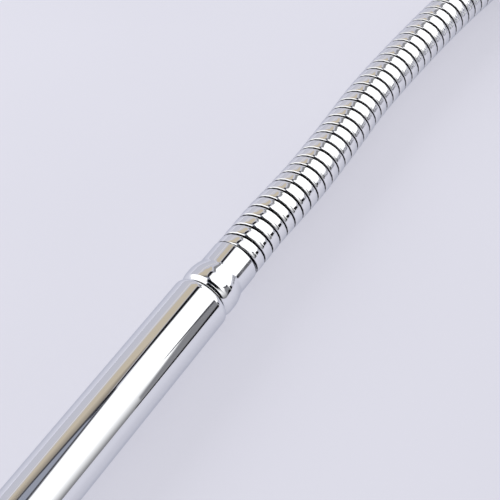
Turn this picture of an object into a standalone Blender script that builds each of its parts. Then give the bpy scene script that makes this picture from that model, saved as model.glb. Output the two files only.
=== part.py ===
"""Handheld bath sprayer: a chrome tube handle with a thumb valve and a spray head, fed by a metal hose.

The handle lies on its back along X, spray face up. The hose leaves its tail towards +X and ends in a coil.
Every size is in metres. Stations along the handle are measured from the tube's tail end, at x = 0.
"""

import math

import bmesh
import bpy
import numpy as np
from mathutils import Matrix, Vector

MM = 0.001

# Handle tube and the swivel in its tail
TUBE_OD = 19.0 * MM
TUBE_WALL = 1.2 * MM
TUBE_LENGTH = 150.0 * MM
TUBE_ROLL_LENGTH = 2.0 * MM
TUBE_ROLL_DROP = 0.85 * MM
BUSH_LENGTH = 17.0 * MM
BUSH_THREAD_LENGTH = 4.0 * MM
BUSH_THREAD_WALL = 1.6 * MM
SWIVEL_SEAL_INSET = 5.1 * MM
SWIVEL_SEAL_SPACING = 5.9 * MM
JOURNAL_OD = 10.4 * MM
JOURNAL_BORE = 6.8 * MM
CLIP_THICKNESS = 1.2 * MM
CLIP_GROOVE_DEPTH = 0.8 * MM
CLIP_LIP = 1.0 * MM
CLIP_MOUTH = 7.0 * MM
ADAPTER_SUMP = 1.0 * MM
ADAPTER_FLOOR = 3.0 * MM
NIPPLE_LENGTH = 11.0 * MM
WATER_TUBE_OD = 13.0 * MM
WATER_TUBE_BORE = 10.0 * MM

# Ferrule that carries the hose
BEAD_OD = 18.3 * MM
BEAD_LENGTH = 10.2 * MM
BEAD_CREST_LENGTH = 3.4 * MM
BEAD_SHOULDER_LENGTH = 3.0 * MM
BEAD_SHOULDER_DROP = 1.1 * MM
FERRULE_OD = 16.2 * MM
FERRULE_LENGTH = 7.8 * MM
FERRULE_SOCKET_DEPTH = 14.0 * MM
SPIGOT_LENGTH = 8.0 * MM

# Hose: strip-wound armour over a rubber tube
HOSE_OD = 16.0 * MM
HOSE_BORE = 12.8 * MM
RIB_PITCH = 4.75 * MM
RIB_GROOVE_WIDTH = 1.0 * MM
RIB_DEPTH = 0.7 * MM
COIL_RIB_PITCH = 15.0 * MM
INNER_TUBE_OD = 9.8 * MM
INNER_TUBE_BORE = 8.0 * MM
STEM_BORE = 4.4 * MM
STEM_HEAD_THICKNESS = 1.8 * MM
STEM_GRIP = 15.0 * MM
BARB_DEPTH = 0.25 * MM
BARBS = 3

# Coil of the unseen length, in two layers
COIL_RADIUS = 92.0 * MM
COIL_SPIRAL = 16.5 * MM
COIL_LAYER = 16.8 * MM
COIL_POINTS_PER_TURN = 24
COIL_CLIMB_START = 0.75
COIL_CLIMB_TURNS = 0.5
HOSE_LIFT = 0.1 * MM

# Tap end of the hose
TAP_SLEEVE_WALL = 0.9 * MM
TAP_WEB = 1.2 * MM
TAP_SLEEVE_LENGTH = 14.0 * MM
TAP_NECK_OD = 14.0 * MM
TAP_NECK_LENGTH = 11.5 * MM
TAP_FLANGE_THICKNESS = 2.5 * MM
NUT_ACROSS_FLATS = 24.0 * MM
NUT_LENGTH = 22.5 * MM
NUT_SHOULDER = 8.0 * MM
NUT_CONE_END_OD = 18.6 * MM
NUT_THREAD_BORE = 18.6 * MM
NUT_CHAMFER = 1.0 * MM
WASHER_BORE = 10.0 * MM
WASHER_THICKNESS = 2.5 * MM
SCREEN_THICKNESS = 0.6 * MM
SCREEN_HOLE = 1.5 * MM
SCREEN_HOLES = 6
SCREEN_HOLE_CIRCLE = 3.0 * MM

# Thumb valve
VALVE_LENGTH = 36.0 * MM
VALVE_SPIGOT_LENGTH = 12.0 * MM
NECK_SPIGOT_OD = 14.0 * MM
NECK_SPIGOT_LENGTH = 9.0 * MM
WATERWAY = 5.5 * MM
BOSS_WALL = 1.9 * MM
BOSS_EDGE = 0.8 * MM
BUTTON_OD = 14.0 * MM
BUTTON_HEIGHT = 7.0 * MM
BUTTON_WALL = 1.4 * MM
BUTTON_TOP = 3.0 * MM
BUTTON_EDGE = 1.2 * MM
BUTTON_DISH = 0.6 * MM
BUTTON_TRAVEL = 4.5 * MM
BUTTON_STAND = 3.6 * MM
PISTON_OD = 8.4 * MM
PISTON_LENGTH = 3.2 * MM
STEM_ROD_OD = 4.0 * MM
STEM_ROD_SEAT = 1.1 * MM
BONNET_THICKNESS = 2.5 * MM
SPRING_WIRE = 0.7 * MM
SPRING_OD = 7.9 * MM
SPRING_TURNS = 4
SPRING_POINTS_PER_TURN = 9

# Spray head
HEAD_OD = 62.0 * MM
HEAD_TILT = 20.0
HEAD_DISTANCE = 45.0 * MM
DOME_DEPTH = 8.0 * MM
RIM_HEIGHT = 3.7 * MM
DOME_WALL = 2.5 * MM
HEAD_THREAD_DROP = 1.8 * MM
HEAD_THREAD_WALL = 1.6 * MM
HEAD_LEDGE = 2.1 * MM
NECK_BORE = 8.0 * MM
# The neck inside the head: distance from the head's centre, rise above the handle's axis, radius
NECK_TAPER = (
    (23.0 * MM, 1.0 * MM, 9.1 * MM),
    (12.4 * MM, 2.5 * MM, 8.2 * MM),
    (1.6 * MM, 4.5 * MM, 7.0 * MM),
)
BOSS_OD = 9.0 * MM
FLOW_PLATE_THICKNESS = 1.4 * MM
MAT_THICKNESS = 1.0 * MM
FACE_PLATE_THICKNESS = 1.8 * MM
TRIM_LIP_THICKNESS = 1.1 * MM
TRIM_LIP_COVER = 1.0 * MM
TRIM_EDGE = 1.4 * MM
NOZZLE_OD = 2.6 * MM
NOZZLE_TIP_OD = 1.8 * MM
NOZZLE_HEIGHT = 1.8 * MM
NOZZLE_ORIFICE = 0.9 * MM
NOZZLE_COUNTS = (5, 9, 14)
NOZZLE_CIRCLES = (8.0 * MM, 14.5 * MM, 21.0 * MM)
FLOW_HOLE = 4.0 * MM
FLOW_HOLES = 8
FLOW_HOLE_CIRCLE = 17.0 * MM
SCREW_OD = 3.0 * MM
SCREW_HEAD_OD = 7.0 * MM
SCREW_HEAD_HEIGHT = 1.5 * MM
SCREW_GRIP = 5.0 * MM

# Fits and facets
FIT = 0.3 * MM
SEAL_GAP = 0.2 * MM
SEAL_SECTION = 1.0 * MM
ROUND_SIDES = 24
FINE_SIDES = 28
PLAIN_SIDES = 16
NARROW_SIDES = 12
PEG_SIDES = 6
JET_SIDES = 5
HOSE_SIDES = 8
COIL_SIDES = 6
SEAL_SIDES = 5

SMOOTH_BELOW = 50.0

# The pieces that move together on each joint
HANDLE_PIECES = (
    "handle_tube", "tail_bush", "water_adapter", "water_tube", "valve_body", "valve_bonnet",
    "return_spring", "rear_o_ring", "neck_o_ring", "head_shell", "trim_ring", "flow_plate", "nozzle_mat",
    "face_plate", "face_screw",
)
BUTTON_PIECES = ("thumb_button", "valve_piston", "piston_o_ring")
NUT_PIECES = ("tap_nut", "tap_washer", "filter_screen")

# Radii and stations that follow from the driving dimensions
tube_r = TUBE_OD / 2
tube_bore_r = tube_r - TUBE_WALL
axis_z = tube_r
liner_r = tube_bore_r - FIT
journal_r = JOURNAL_OD / 2
journal_bore_r = JOURNAL_BORE / 2
bush_bore_r = journal_r + FIT
bush_thread_r = liner_r - BUSH_THREAD_WALL + FIT
water_r = WATER_TUBE_BORE / 2
nipple_r = water_r - FIT
seal_groove_r = bush_bore_r - SEAL_SECTION - 2 * SEAL_GAP

hose_r = HOSE_OD / 2
hose_z = hose_r + HOSE_LIFT
hose_flat = math.cos(math.pi / HOSE_SIDES)
hose_bore_r = HOSE_BORE / 2
coil_bore_r = hose_bore_r - FIT
inner_r = INNER_TUBE_OD / 2
spigot_r = hose_bore_r * hose_flat - FIT
socket_r = inner_r + FIT
stem_r = INNER_TUBE_BORE / 2 * math.cos(math.pi / COIL_SIDES) - FIT

bead_start = FIT
bead_end = bead_start + BEAD_LENGTH
ferrule_end = bead_end + FERRULE_LENGTH
spigot_end = ferrule_end + SPIGOT_LENGTH
hose_start = ferrule_end + FIT
socket_floor = ferrule_end - FERRULE_SOCKET_DEPTH
stem_head_end = socket_floor + FIT + STEM_HEAD_THICKNESS
inner_start = stem_head_end + FIT
stem_end = inner_start + STEM_GRIP

bush_start = -FIT
bush_end = bush_start - BUSH_LENGTH
clip_start = bush_end - FIT
clip_end = clip_start - CLIP_THICKNESS
journal_end = clip_end - FIT - CLIP_LIP
adapter_floor = journal_end - ADAPTER_SUMP
adapter_back = adapter_floor - ADAPTER_FLOOR
adapter_end = adapter_back - NIPPLE_LENGTH

valve_start = -TUBE_LENGTH - FIT
valve_end = valve_start - VALVE_LENGTH
valve_x = (valve_start + valve_end) / 2
valve_spigot_end = -TUBE_LENGTH + VALVE_SPIGOT_LENGTH
valve_nipple_end = valve_spigot_end + NIPPLE_LENGTH
neck_spigot_r = NECK_SPIGOT_OD / 2
neck_spigot_end = valve_end - NECK_SPIGOT_LENGTH
waterway_r = WATERWAY / 2
rear_seal = (valve_start + valve_spigot_end) / 2
rear_groove_r = tube_bore_r - SEAL_SECTION - 2 * SEAL_GAP
neck_seal = (valve_end + neck_spigot_end) / 2
neck_groove_r = neck_spigot_r + FIT - SEAL_SECTION - 2 * SEAL_GAP

piston_r = PISTON_OD / 2
piston_bore_r = piston_r + FIT
piston_floor = axis_z - waterway_r - FIT
piston_bottom = axis_z + waterway_r + FIT
piston_top = piston_bottom + PISTON_LENGTH
bonnet_bottom = piston_top + FIT
bonnet_top = bonnet_bottom + BONNET_THICKNESS
button_r = BUTTON_OD / 2
button_bottom = bonnet_top + FIT + BUTTON_TRAVEL
button_top = button_bottom + BUTTON_HEIGHT
button_ceiling = button_top - BUTTON_TOP
rod_top = button_ceiling + STEM_ROD_SEAT
boss_bore_r = button_r + FIT
boss_r = boss_bore_r + BOSS_WALL
boss_top = button_top - BUTTON_STAND

head_r = HEAD_OD / 2
head_tilt = math.radians(HEAD_TILT)
head_x = valve_end - HEAD_DISTANCE
thread_r = head_r - HEAD_THREAD_DROP
chamber_r = thread_r - HEAD_THREAD_WALL
ledge_r = chamber_r - HEAD_LEDGE
stack_r = chamber_r - FIT
rim_bottom = -RIM_HEIGHT
ledge_level = rim_bottom + DOME_WALL
flow_bottom = ledge_level + FIT
flow_top = flow_bottom + FLOW_PLATE_THICKNESS
mat_bottom = flow_top + FIT
mat_top = mat_bottom + MAT_THICKNESS
plate_bottom = mat_top + FIT
plate_top = plate_bottom + FACE_PLATE_THICKNESS
lip_bottom = plate_top + FIT
trim_top = lip_bottom + TRIM_LIP_THICKNESS
nozzle_top = plate_top + NOZZLE_HEIGHT
screw_r = SCREW_OD / 2
screw_hole_r = screw_r + FIT

tap_neck_r = TAP_NECK_OD / 2
tap_neck_start = FIT + TAP_WEB
tap_neck_end = tap_neck_start + TAP_NECK_LENGTH
tap_flange_end = tap_neck_end + TAP_FLANGE_THICKNESS
tap_stem_head = tap_flange_end - STEM_HEAD_THICKNESS
nut_bore_r = NUT_THREAD_BORE / 2
nut_seat = tap_neck_end - FIT
nut_start = nut_seat - NUT_SHOULDER
nut_end = nut_start + NUT_LENGTH
washer_start = tap_flange_end + FIT
washer_end = washer_start + WASHER_THICKNESS
tail_z = NUT_ACROSS_FLATS / 2

# Route of the hose from the ferrule to the coil: distance along the handle's axis, then sideways
FREE_ROUTE = (
    (0.0, 0.0), (8.0, 0.0), (16.0, 0.0), (28.0, -0.5), (42.0, -0.7), (56.0, -0.3), (70.0, 0.2),
    (84.0, 0.8), (98.0, 0.6), (112.0, 0.0), (127.0, -0.9), (142.0, -2.1), (158.0, -3.9),
    (176.0, -6.6), (196.0, -10.2), (216.0, -14.4), (232.0, -17.8), (248.0, -21.2),
)
# Where the hose has come down from the ferrule's height to the floor
ROUTE_DROP = (16.0 * MM, 60.0 * MM)
# The tail off the coil: degrees past the last turn, outwards from the coil, share of the way down
TAIL_ROUTE = (
    (15.0, 3.5, 0.0), (30.0, 9.0, 0.10), (45.0, 15.0, 0.36), (60.0, 20.0, 0.70), (71.0, 22.4, 0.93),
    (80.0, 23.0, 1.0),
)
TAIL_STRAIGHT = 20.0 * MM
TAIL_AHEAD = Vector((0.0, -1.0, 0.0))


def clear_scene():
    for item in list(bpy.data.objects):
        bpy.data.objects.remove(item, do_unlink=True)


def new_collection(name):
    made = bpy.data.collections.new(name)
    bpy.context.scene.collection.children.link(made)
    return made


def new_material(name, colour, metallic, roughness):
    made = bpy.data.materials.new(name)
    made.use_nodes = True
    shader = made.node_tree.nodes["Principled BSDF"]
    shader.inputs["Base Color"].default_value = (*colour, 1.0)
    shader.inputs["Metallic"].default_value = metallic
    shader.inputs["Roughness"].default_value = roughness
    made.diffuse_color = (*colour, 1.0)
    return made


clear_scene()
parts = new_collection("bath_sprayer")
tools = new_collection("cutters")

CHROME = new_material("chrome_plate", (0.86, 0.87, 0.89), 1.0, 0.05)
HOSE_STEEL = new_material("hose_steel", (0.80, 0.81, 0.83), 1.0, 0.12)
BRASS = new_material("brass", (0.78, 0.62, 0.30), 1.0, 0.30)
STEEL = new_material("spring_steel", (0.60, 0.61, 0.62), 1.0, 0.30)
BLACK_RUBBER = new_material("black_rubber", (0.03, 0.03, 0.03), 0.0, 0.60)
SILICONE = new_material("grey_silicone", (0.42, 0.45, 0.48), 0.0, 0.50)
WHITE_PLASTIC = new_material("white_plastic", (0.82, 0.83, 0.84), 0.0, 0.30)
DARK_PLASTIC = new_material("dark_plastic", (0.06, 0.06, 0.07), 0.0, 0.45)
CLEAR_PLASTIC = new_material("clear_plastic", (0.70, 0.74, 0.76), 0.0, 0.25)


def add_object(name, mesh, material, place, cutter):
    item = bpy.data.objects.new(name, mesh)
    item.matrix_basis = place
    item.parent = base
    mesh.materials.append(material)
    if cutter:
        item.hide_render = True
        item.display_type = "WIRE"
        tools.objects.link(item)
    else:
        parts.objects.link(item)
    return item


def arc(centre, radii, start, end, count):
    """Points (axial, radius) on an elliptical arc. Angles run from +axial towards +radius."""
    points = []
    for step in range(count + 1):
        angle = math.radians(start + (end - start) * step / count)
        axial = centre[0] + radii[0] * math.cos(angle)
        radial = centre[1] + radii[1] * math.sin(angle)
        points.append((axial, radial))
    return points


def turned(name, outline, material, place, steps=ROUND_SIDES, cutter=False):
    """A solid of revolution about the place's local Z, from a closed outline of (axial, radius) points."""
    ring = [(radius, axial) for axial, radius in outline]
    following = ring[1:] + ring[:1]
    area = sum(a[0] * b[1] - b[0] * a[1] for a, b in zip(ring, following))
    if area > 0:
        ring.reverse()
    count = len(ring)
    edges = [(step, step + 1) for step in range(count - 1)]
    if ring[0][0] > 0 or ring[-1][0] > 0:
        edges.append((count - 1, 0))
    mesh = bpy.data.meshes.new(name)
    mesh.from_pydata([(radius, 0.0, axial) for radius, axial in ring], edges, [])
    item = add_object(name, mesh, material, place, cutter)
    screw = item.modifiers.new("turn", "SCREW")
    screw.axis = "Z"
    screw.steps = steps
    screw.render_steps = steps
    screw.use_merge_vertices = True
    screw.merge_threshold = 0.00001
    screw.use_smooth_shade = False
    return item


def rod(name, start, end, radius, material, place, steps=PLAIN_SIDES, cutter=False):
    outline = [(start, 0.0), (start, radius), (end, radius), (end, 0.0)]
    return turned(name, outline, material, place, steps, cutter)


def tube(name, start, end, outer, inner, material, place, steps=PLAIN_SIDES):
    outline = [(start, inner), (start, outer), (end, outer), (end, inner)]
    return turned(name, outline, material, place, steps)


def o_ring(name, station, centre_r, place, steps=PLAIN_SIDES):
    last = 360.0 * (1 - 1 / SEAL_SIDES)
    section = arc((station, centre_r), (SEAL_SECTION / 2, SEAL_SECTION / 2), 0.0, last, SEAL_SIDES - 1)
    return turned(name, section, BLACK_RUBBER, place, steps)


def combine(target, tool, operation):
    modifier = target.modifiers.new(tool.name, "BOOLEAN")
    modifier.operation = operation
    modifier.solver = "EXACT"
    modifier.object = tool


def swept(name, points, radii, sides, material, cutter=False):
    """A closed tube along the points. Its ring has the given number of sides, with a corner downwards."""
    curve = bpy.data.curves.new(name, "CURVE")
    curve.dimensions = "3D"
    curve.twist_mode = "Z_UP"
    curve.bevel_mode = "ROUND"
    curve.bevel_depth = 1.0
    curve.bevel_resolution = sides // 2 - 2
    curve.use_fill_caps = True
    spline = curve.splines.new("POLY")
    spline.points.add(len(points) - 1)
    for knot, point, radius in zip(spline.points, points, radii):
        knot.co = (*point, 1.0)
        knot.radius = radius
        knot.tilt = math.pi / 2
    guide = bpy.data.objects.new(name + "_guide", curve)
    bpy.context.scene.collection.objects.link(guide)
    bpy.context.view_layer.update()
    graph = bpy.context.evaluated_depsgraph_get()
    mesh = bpy.data.meshes.new_from_object(guide.evaluated_get(graph))
    bpy.data.objects.remove(guide, do_unlink=True)
    shape = bmesh.new()
    shape.from_mesh(mesh)
    bmesh.ops.remove_doubles(shape, verts=shape.verts, dist=0.000001)
    bmesh.ops.recalc_face_normals(shape, faces=shape.faces)
    shape.to_mesh(mesh)
    shape.free()
    mesh.name = name
    return add_object(name, mesh, material, Matrix(), cutter)


def block(name, middle, size, place):
    """A box-shaped cutter."""
    shape = bmesh.new()
    stretch = Matrix.Diagonal((*size, 1.0))
    bmesh.ops.create_cube(shape, size=1.0, matrix=Matrix.Translation(middle) @ stretch)
    mesh = bpy.data.meshes.new(name)
    shape.to_mesh(mesh)
    shape.free()
    return add_object(name, mesh, STEEL, place, True)


def pegs(name, places, levels, radii, place, sides=PEG_SIDES):
    """A cutter of upright pegs, one at each (x, y), with a bottom and a top radius."""
    shape = bmesh.new()
    for x, y in places:
        middle = Matrix.Translation((x, y, (levels[0] + levels[1]) / 2))
        bmesh.ops.create_cone(
            shape,
            cap_ends=True,
            segments=sides,
            radius1=radii[0],
            radius2=radii[1],
            depth=levels[1] - levels[0],
            matrix=middle,
        )
    mesh = bpy.data.meshes.new(name)
    shape.to_mesh(mesh)
    shape.free()
    return add_object(name, mesh, STEEL, place, True)


def drill(target, places, bottom, top, radius, place, sides=PEG_SIDES):
    """Round holes through a plate, at each (x, y) of the place."""
    cutter = pegs(target.name + "_holes", places, (bottom - FIT, top + FIT), (radius, radius), place, sides)
    combine(target, cutter, "DIFFERENCE")


def ring_places(count, circle_r):
    turns = [2 * math.pi * (step + 0.5) / count for step in range(count)]
    return [(circle_r * math.cos(turn), circle_r * math.sin(turn)) for turn in turns]


# Outline of the head's back: the rim, then half an ellipse down to the dome's lowest point
dome = arc((rim_bottom, 0.0), (DOME_DEPTH, head_r), 90.0, 180.0, 8)
dome[-1] = (rim_bottom - DOME_DEPTH, 0.0)
head_z = -min(axial * math.cos(head_tilt) - radius * math.sin(head_tilt) for axial, radius in dome)
rim_edge = arc((trim_top - TRIM_EDGE, head_r - TRIM_EDGE), (TRIM_EDGE, TRIM_EDGE), 90.0, 0.0, 4)
head_reach = max(axial * math.sin(head_tilt) + radius * math.cos(head_tilt) for axial, radius in rim_edge)
head_front = head_x - head_reach
handle_end = max(spigot_end, stem_end)

# The base shifts the part so that the middle of the handle, without its hose, stands over the origin.
base = bpy.data.objects.new("sprayer_base", None)
base.location = (-(head_front + handle_end) / 2, 0.0, 0.0)
parts.objects.link(base)

ALONG = Matrix.Translation((0.0, 0.0, axis_z)) @ Matrix.Rotation(math.pi / 2, 4, "Y")
# A half facet of turn keeps the valve's edges off the handle's own.
UPRIGHT = Matrix.Translation((valve_x, 0.0, 0.0)) @ Matrix.Rotation(math.pi / ROUND_SIDES, 4, "Z")
HEAD = Matrix.Translation((head_x, 0.0, head_z)) @ Matrix.Rotation(-head_tilt, 4, "Y")


def build_handle():
    roll_centre = (-TUBE_ROLL_LENGTH, tube_r - TUBE_ROLL_DROP)
    roll = arc(roll_centre, (TUBE_ROLL_LENGTH, TUBE_ROLL_DROP), 90.0, 0.0, 4)
    outline = [(-TUBE_LENGTH, tube_bore_r), (-TUBE_LENGTH, tube_r), *roll, (0.0, tube_bore_r)]
    turned("handle_tube", outline, CHROME, ALONG)
    thread_start = bush_end + BUSH_THREAD_LENGTH
    outline = [
        (bush_start, bush_bore_r),
        (bush_start, liner_r),
        (thread_start, liner_r),
        (thread_start, bush_thread_r),
        (bush_end, bush_thread_r),
        (bush_end, bush_bore_r),
    ]
    turned("tail_bush", outline, BRASS, ALONG, PLAIN_SIDES)
    outline = [
        (thread_start - FIT, bush_thread_r + FIT),
        (thread_start - FIT, liner_r),
        (adapter_back, liner_r),
        (adapter_back, nipple_r),
        (adapter_end, nipple_r),
        (adapter_end, journal_bore_r),
        (adapter_floor, journal_bore_r),
        (adapter_floor, bush_thread_r + FIT),
    ]
    turned("water_adapter", outline, BRASS, ALONG, PLAIN_SIDES)
    tube_start = adapter_back - FIT
    tube_end = valve_spigot_end + FIT
    tube("water_tube", tube_start, tube_end, WATER_TUBE_OD / 2, water_r, CLEAR_PLASTIC, ALONG)


def seal_groove(station, bottom_r, land_r):
    """The outline of an O-ring groove, passed from high to low stations."""
    half = SEAL_SECTION / 2 + SEAL_GAP
    return [
        (station + half, land_r),
        (station + half, bottom_r),
        (station - half, bottom_r),
        (station - half, land_r),
    ]


def build_swivel():
    seal_outer = bush_start - SWIVEL_SEAL_INSET
    seal_inner = seal_outer - SWIVEL_SEAL_SPACING
    bead_r = BEAD_OD / 2
    ferrule_r = FERRULE_OD / 2
    clip_groove_r = journal_r - CLIP_GROOVE_DEPTH
    crest_start = bead_start + BEAD_SHOULDER_LENGTH
    crest_end = crest_start + BEAD_CREST_LENGTH
    slope = bead_end - crest_end
    shoulder_centre = (crest_start, bead_r - BEAD_SHOULDER_DROP)
    shoulder = arc(shoulder_centre, (BEAD_SHOULDER_LENGTH, BEAD_SHOULDER_DROP), 180.0, 90.0, 4)
    fall = []
    for step in range(5):
        share = step / 4
        ease = (1 + math.cos(math.pi * share)) / 2
        fall.append((crest_end + slope * share, ferrule_r + (bead_r - ferrule_r) * ease))
    outline = [
        (spigot_end, spigot_r),
        (ferrule_end, spigot_r),
        (ferrule_end, ferrule_r),
        *reversed(fall),
        *reversed(shoulder),
        (bead_start, journal_r),
        *seal_groove(seal_outer, seal_groove_r, journal_r),
        *seal_groove(seal_inner, seal_groove_r, journal_r),
        (clip_start + SEAL_GAP, journal_r),
        (clip_start + SEAL_GAP, clip_groove_r),
        (clip_end - SEAL_GAP, clip_groove_r),
        (clip_end - SEAL_GAP, journal_r),
        (journal_end, journal_r),
        (journal_end, journal_bore_r),
        (socket_floor, journal_bore_r),
        (socket_floor, socket_r),
        (spigot_end, socket_r),
    ]
    turned("swivel_ferrule", outline, CHROME, ALONG)
    seal_r = seal_groove_r + SEAL_GAP + SEAL_SECTION / 2
    o_ring("swivel_o_ring_outer", seal_outer, seal_r, ALONG)
    o_ring("swivel_o_ring_inner", seal_inner, seal_r, ALONG)
    clip = tube(
        "swivel_clip", clip_start, clip_end, bush_thread_r - FIT, clip_groove_r + SEAL_GAP, STEEL, ALONG
    )
    mouth_size = (bush_thread_r, CLIP_MOUTH, CLIP_THICKNESS + 2 * FIT)
    mouth_middle = (-bush_thread_r / 2, 0.0, (clip_start + clip_end) / 2)
    combine(clip, block("clip_mouth", mouth_middle, mouth_size, ALONG), "DIFFERENCE")


def barbed_stem(name, head_end, head_start, tip, head_r, place):
    """A stem whose barbed rod grips the rubber tube. The head is at the outer end."""
    step = 1 if tip > head_start else -1
    grip = abs(tip - head_start)
    outline = [(head_end, STEM_BORE / 2), (head_end, head_r), (head_start, head_r), (head_start, stem_r)]
    for barb in range(BARBS):
        foot = head_start + step * grip * (barb + 1) / BARBS
        crest = foot - step * grip / BARBS / 2
        outline.append((crest - step * FIT, stem_r - BARB_DEPTH))
        outline.append((crest, stem_r))
        outline.append((foot, stem_r - BARB_DEPTH))
    outline.append((tip, STEM_BORE / 2))
    turned(name, outline, BRASS, place, NARROW_SIDES)


def build_valve():
    body = turned(
        "valve_body",
        [
            (valve_nipple_end, 0.0),
            (valve_nipple_end, nipple_r),
            (valve_spigot_end, nipple_r),
            (valve_spigot_end, liner_r),
            *seal_groove(rear_seal, rear_groove_r, liner_r),
            (valve_start, liner_r),
            (valve_start, tube_r),
            (valve_end, tube_r),
            (valve_end, neck_spigot_r),
            *seal_groove(neck_seal, neck_groove_r, neck_spigot_r),
            (neck_spigot_end, neck_spigot_r),
            (neck_spigot_end, 0.0),
        ],
        CHROME,
        ALONG,
    )
    edge = BOSS_EDGE
    rounded = arc((boss_top - edge, boss_r - edge), (edge, edge), 90.0, 0.0, 3)
    outline = [(axis_z, 0.0), (axis_z, boss_r), *rounded, (boss_top, 0.0)]
    combine(body, turned("valve_boss", outline, CHROME, UPRIGHT, ROUND_SIDES, True), "UNION")
    well = turned(
        "valve_well",
        [
            (piston_floor, 0.0),
            (piston_floor, piston_bore_r),
            (piston_top, piston_bore_r),
            (piston_top, boss_bore_r),
            (boss_top + FIT, boss_bore_r),
            (boss_top + FIT, 0.0),
        ],
        CHROME,
        UPRIGHT,
        ROUND_SIDES,
        True,
    )
    combine(body, well, "DIFFERENCE")
    ends = (valve_nipple_end + FIT, neck_spigot_end - FIT)
    combine(body, rod("valve_waterway", *ends, waterway_r, CHROME, ALONG, NARROW_SIDES, True), "DIFFERENCE")
    section_r = SEAL_SECTION / 2
    o_ring("rear_o_ring", rear_seal, rear_groove_r + SEAL_GAP + section_r, ALONG)
    o_ring("neck_o_ring", neck_seal, neck_groove_r + SEAL_GAP + section_r, ALONG)
    rod_r = STEM_ROD_OD / 2
    piston_seal = (piston_bottom + piston_top) / 2
    groove_r = piston_bore_r - SEAL_SECTION - 2 * SEAL_GAP
    turned(
        "valve_piston",
        [
            (rod_top, 0.0),
            (rod_top, rod_r),
            (piston_top, rod_r),
            (piston_top, piston_r),
            *seal_groove(piston_seal, groove_r, piston_r),
            (piston_bottom, piston_r),
            (piston_bottom, 0.0),
        ],
        BRASS,
        UPRIGHT,
        PLAIN_SIDES,
    )
    o_ring("piston_o_ring", piston_seal, groove_r + SEAL_GAP + section_r, UPRIGHT)
    tube("valve_bonnet", bonnet_bottom, bonnet_top, button_r, rod_r + FIT, BRASS, UPRIGHT)
    edge = BUTTON_EDGE
    crown = arc((button_top - edge, button_r - edge), (edge, edge), 90.0, 0.0, 3)
    turned(
        "thumb_button",
        [
            (rod_top + FIT, 0.0),
            (rod_top + FIT, rod_r + FIT),
            (button_ceiling, rod_r + FIT),
            (button_ceiling, button_r - BUTTON_WALL),
            (button_bottom, button_r - BUTTON_WALL),
            (button_bottom, button_r),
            *crown,
            (button_top - BUTTON_DISH, 0.0),
        ],
        DARK_PLASTIC,
        UPRIGHT,
    )
    build_spring()


def build_spring():
    wire_r = SPRING_WIRE / 2
    coil_r = SPRING_OD / 2 - wire_r
    low = bonnet_top + FIT + wire_r
    high = button_ceiling - FIT - wire_r
    steps = SPRING_TURNS * SPRING_POINTS_PER_TURN
    points = []
    for step in range(steps + 1):
        turn = 2 * math.pi * SPRING_TURNS * step / steps
        height = low + (high - low) * step / steps
        points.append((valve_x + coil_r * math.cos(turn), coil_r * math.sin(turn), height))
    swept("return_spring", points, [wire_r] * len(points), COIL_SIDES, STEEL)
    least_gap = (high - low) / SPRING_TURNS - SPRING_WIRE
    print("return_spring least gap to itself, mm:", round(least_gap / MM, 2))


def nozzle_places():
    rings = zip(NOZZLE_COUNTS, NOZZLE_CIRCLES)
    return [place for count, circle_r in rings for place in ring_places(count, circle_r)]


def build_head_shell():
    shell = turned(
        "head_shell",
        [
            (lip_bottom - FIT, 0.0),
            (lip_bottom - FIT, thread_r),
            (0.0, thread_r),
            (0.0, head_r),
            *dome,
        ],
        CHROME,
        HEAD,
        FINE_SIDES,
    )
    neck_start = valve_end - FIT
    socket_end = neck_spigot_end - FIT
    boss_r_inside = BOSS_OD / 2
    # The neck leaves the valve level with the tube, then rises and thins into the dome.
    neck_points = [(neck_start, 0.0, axis_z), (socket_end, 0.0, axis_z)]
    neck_radii = [tube_r, tube_r]
    for distance, rise, radius in NECK_TAPER:
        neck_points.append((head_x + distance, 0.0, axis_z + rise))
        neck_radii.append(radius)
    combine(shell, swept("head_neck", neck_points, neck_radii, PLAIN_SIDES, CHROME, True), "UNION")
    hollow = arc((ledge_level, 0.0), (DOME_DEPTH, ledge_r), 90.0, 170.0, 5)
    chamber = turned(
        "head_chamber",
        [
            (lip_bottom, 0.0),
            (lip_bottom, chamber_r),
            (ledge_level, chamber_r),
            *hollow,
            (hollow[-1][0], boss_r_inside),
            (ledge_level, boss_r_inside),
            (ledge_level, 0.0),
        ],
        CHROME,
        HEAD,
        FINE_SIDES,
        True,
    )
    combine(shell, chamber, "DIFFERENCE")
    socket = rod("neck_socket", valve_end, socket_end, neck_spigot_r + FIT, CHROME, ALONG, PLAIN_SIDES, True)
    combine(shell, socket, "DIFFERENCE")
    bore_r = NECK_BORE / 2
    bore_points = [(socket_end + FIT, 0.0, axis_z), *neck_points[2:4]]
    combine(shell, swept("neck_bore", bore_points, [bore_r] * 3, NARROW_SIDES, CHROME, True), "DIFFERENCE")
    depth = ledge_level - SCREW_GRIP - FIT
    hole = rod("screw_hole", depth, lip_bottom, screw_hole_r, CHROME, HEAD, NARROW_SIDES, True)
    combine(shell, hole, "DIFFERENCE")


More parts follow.
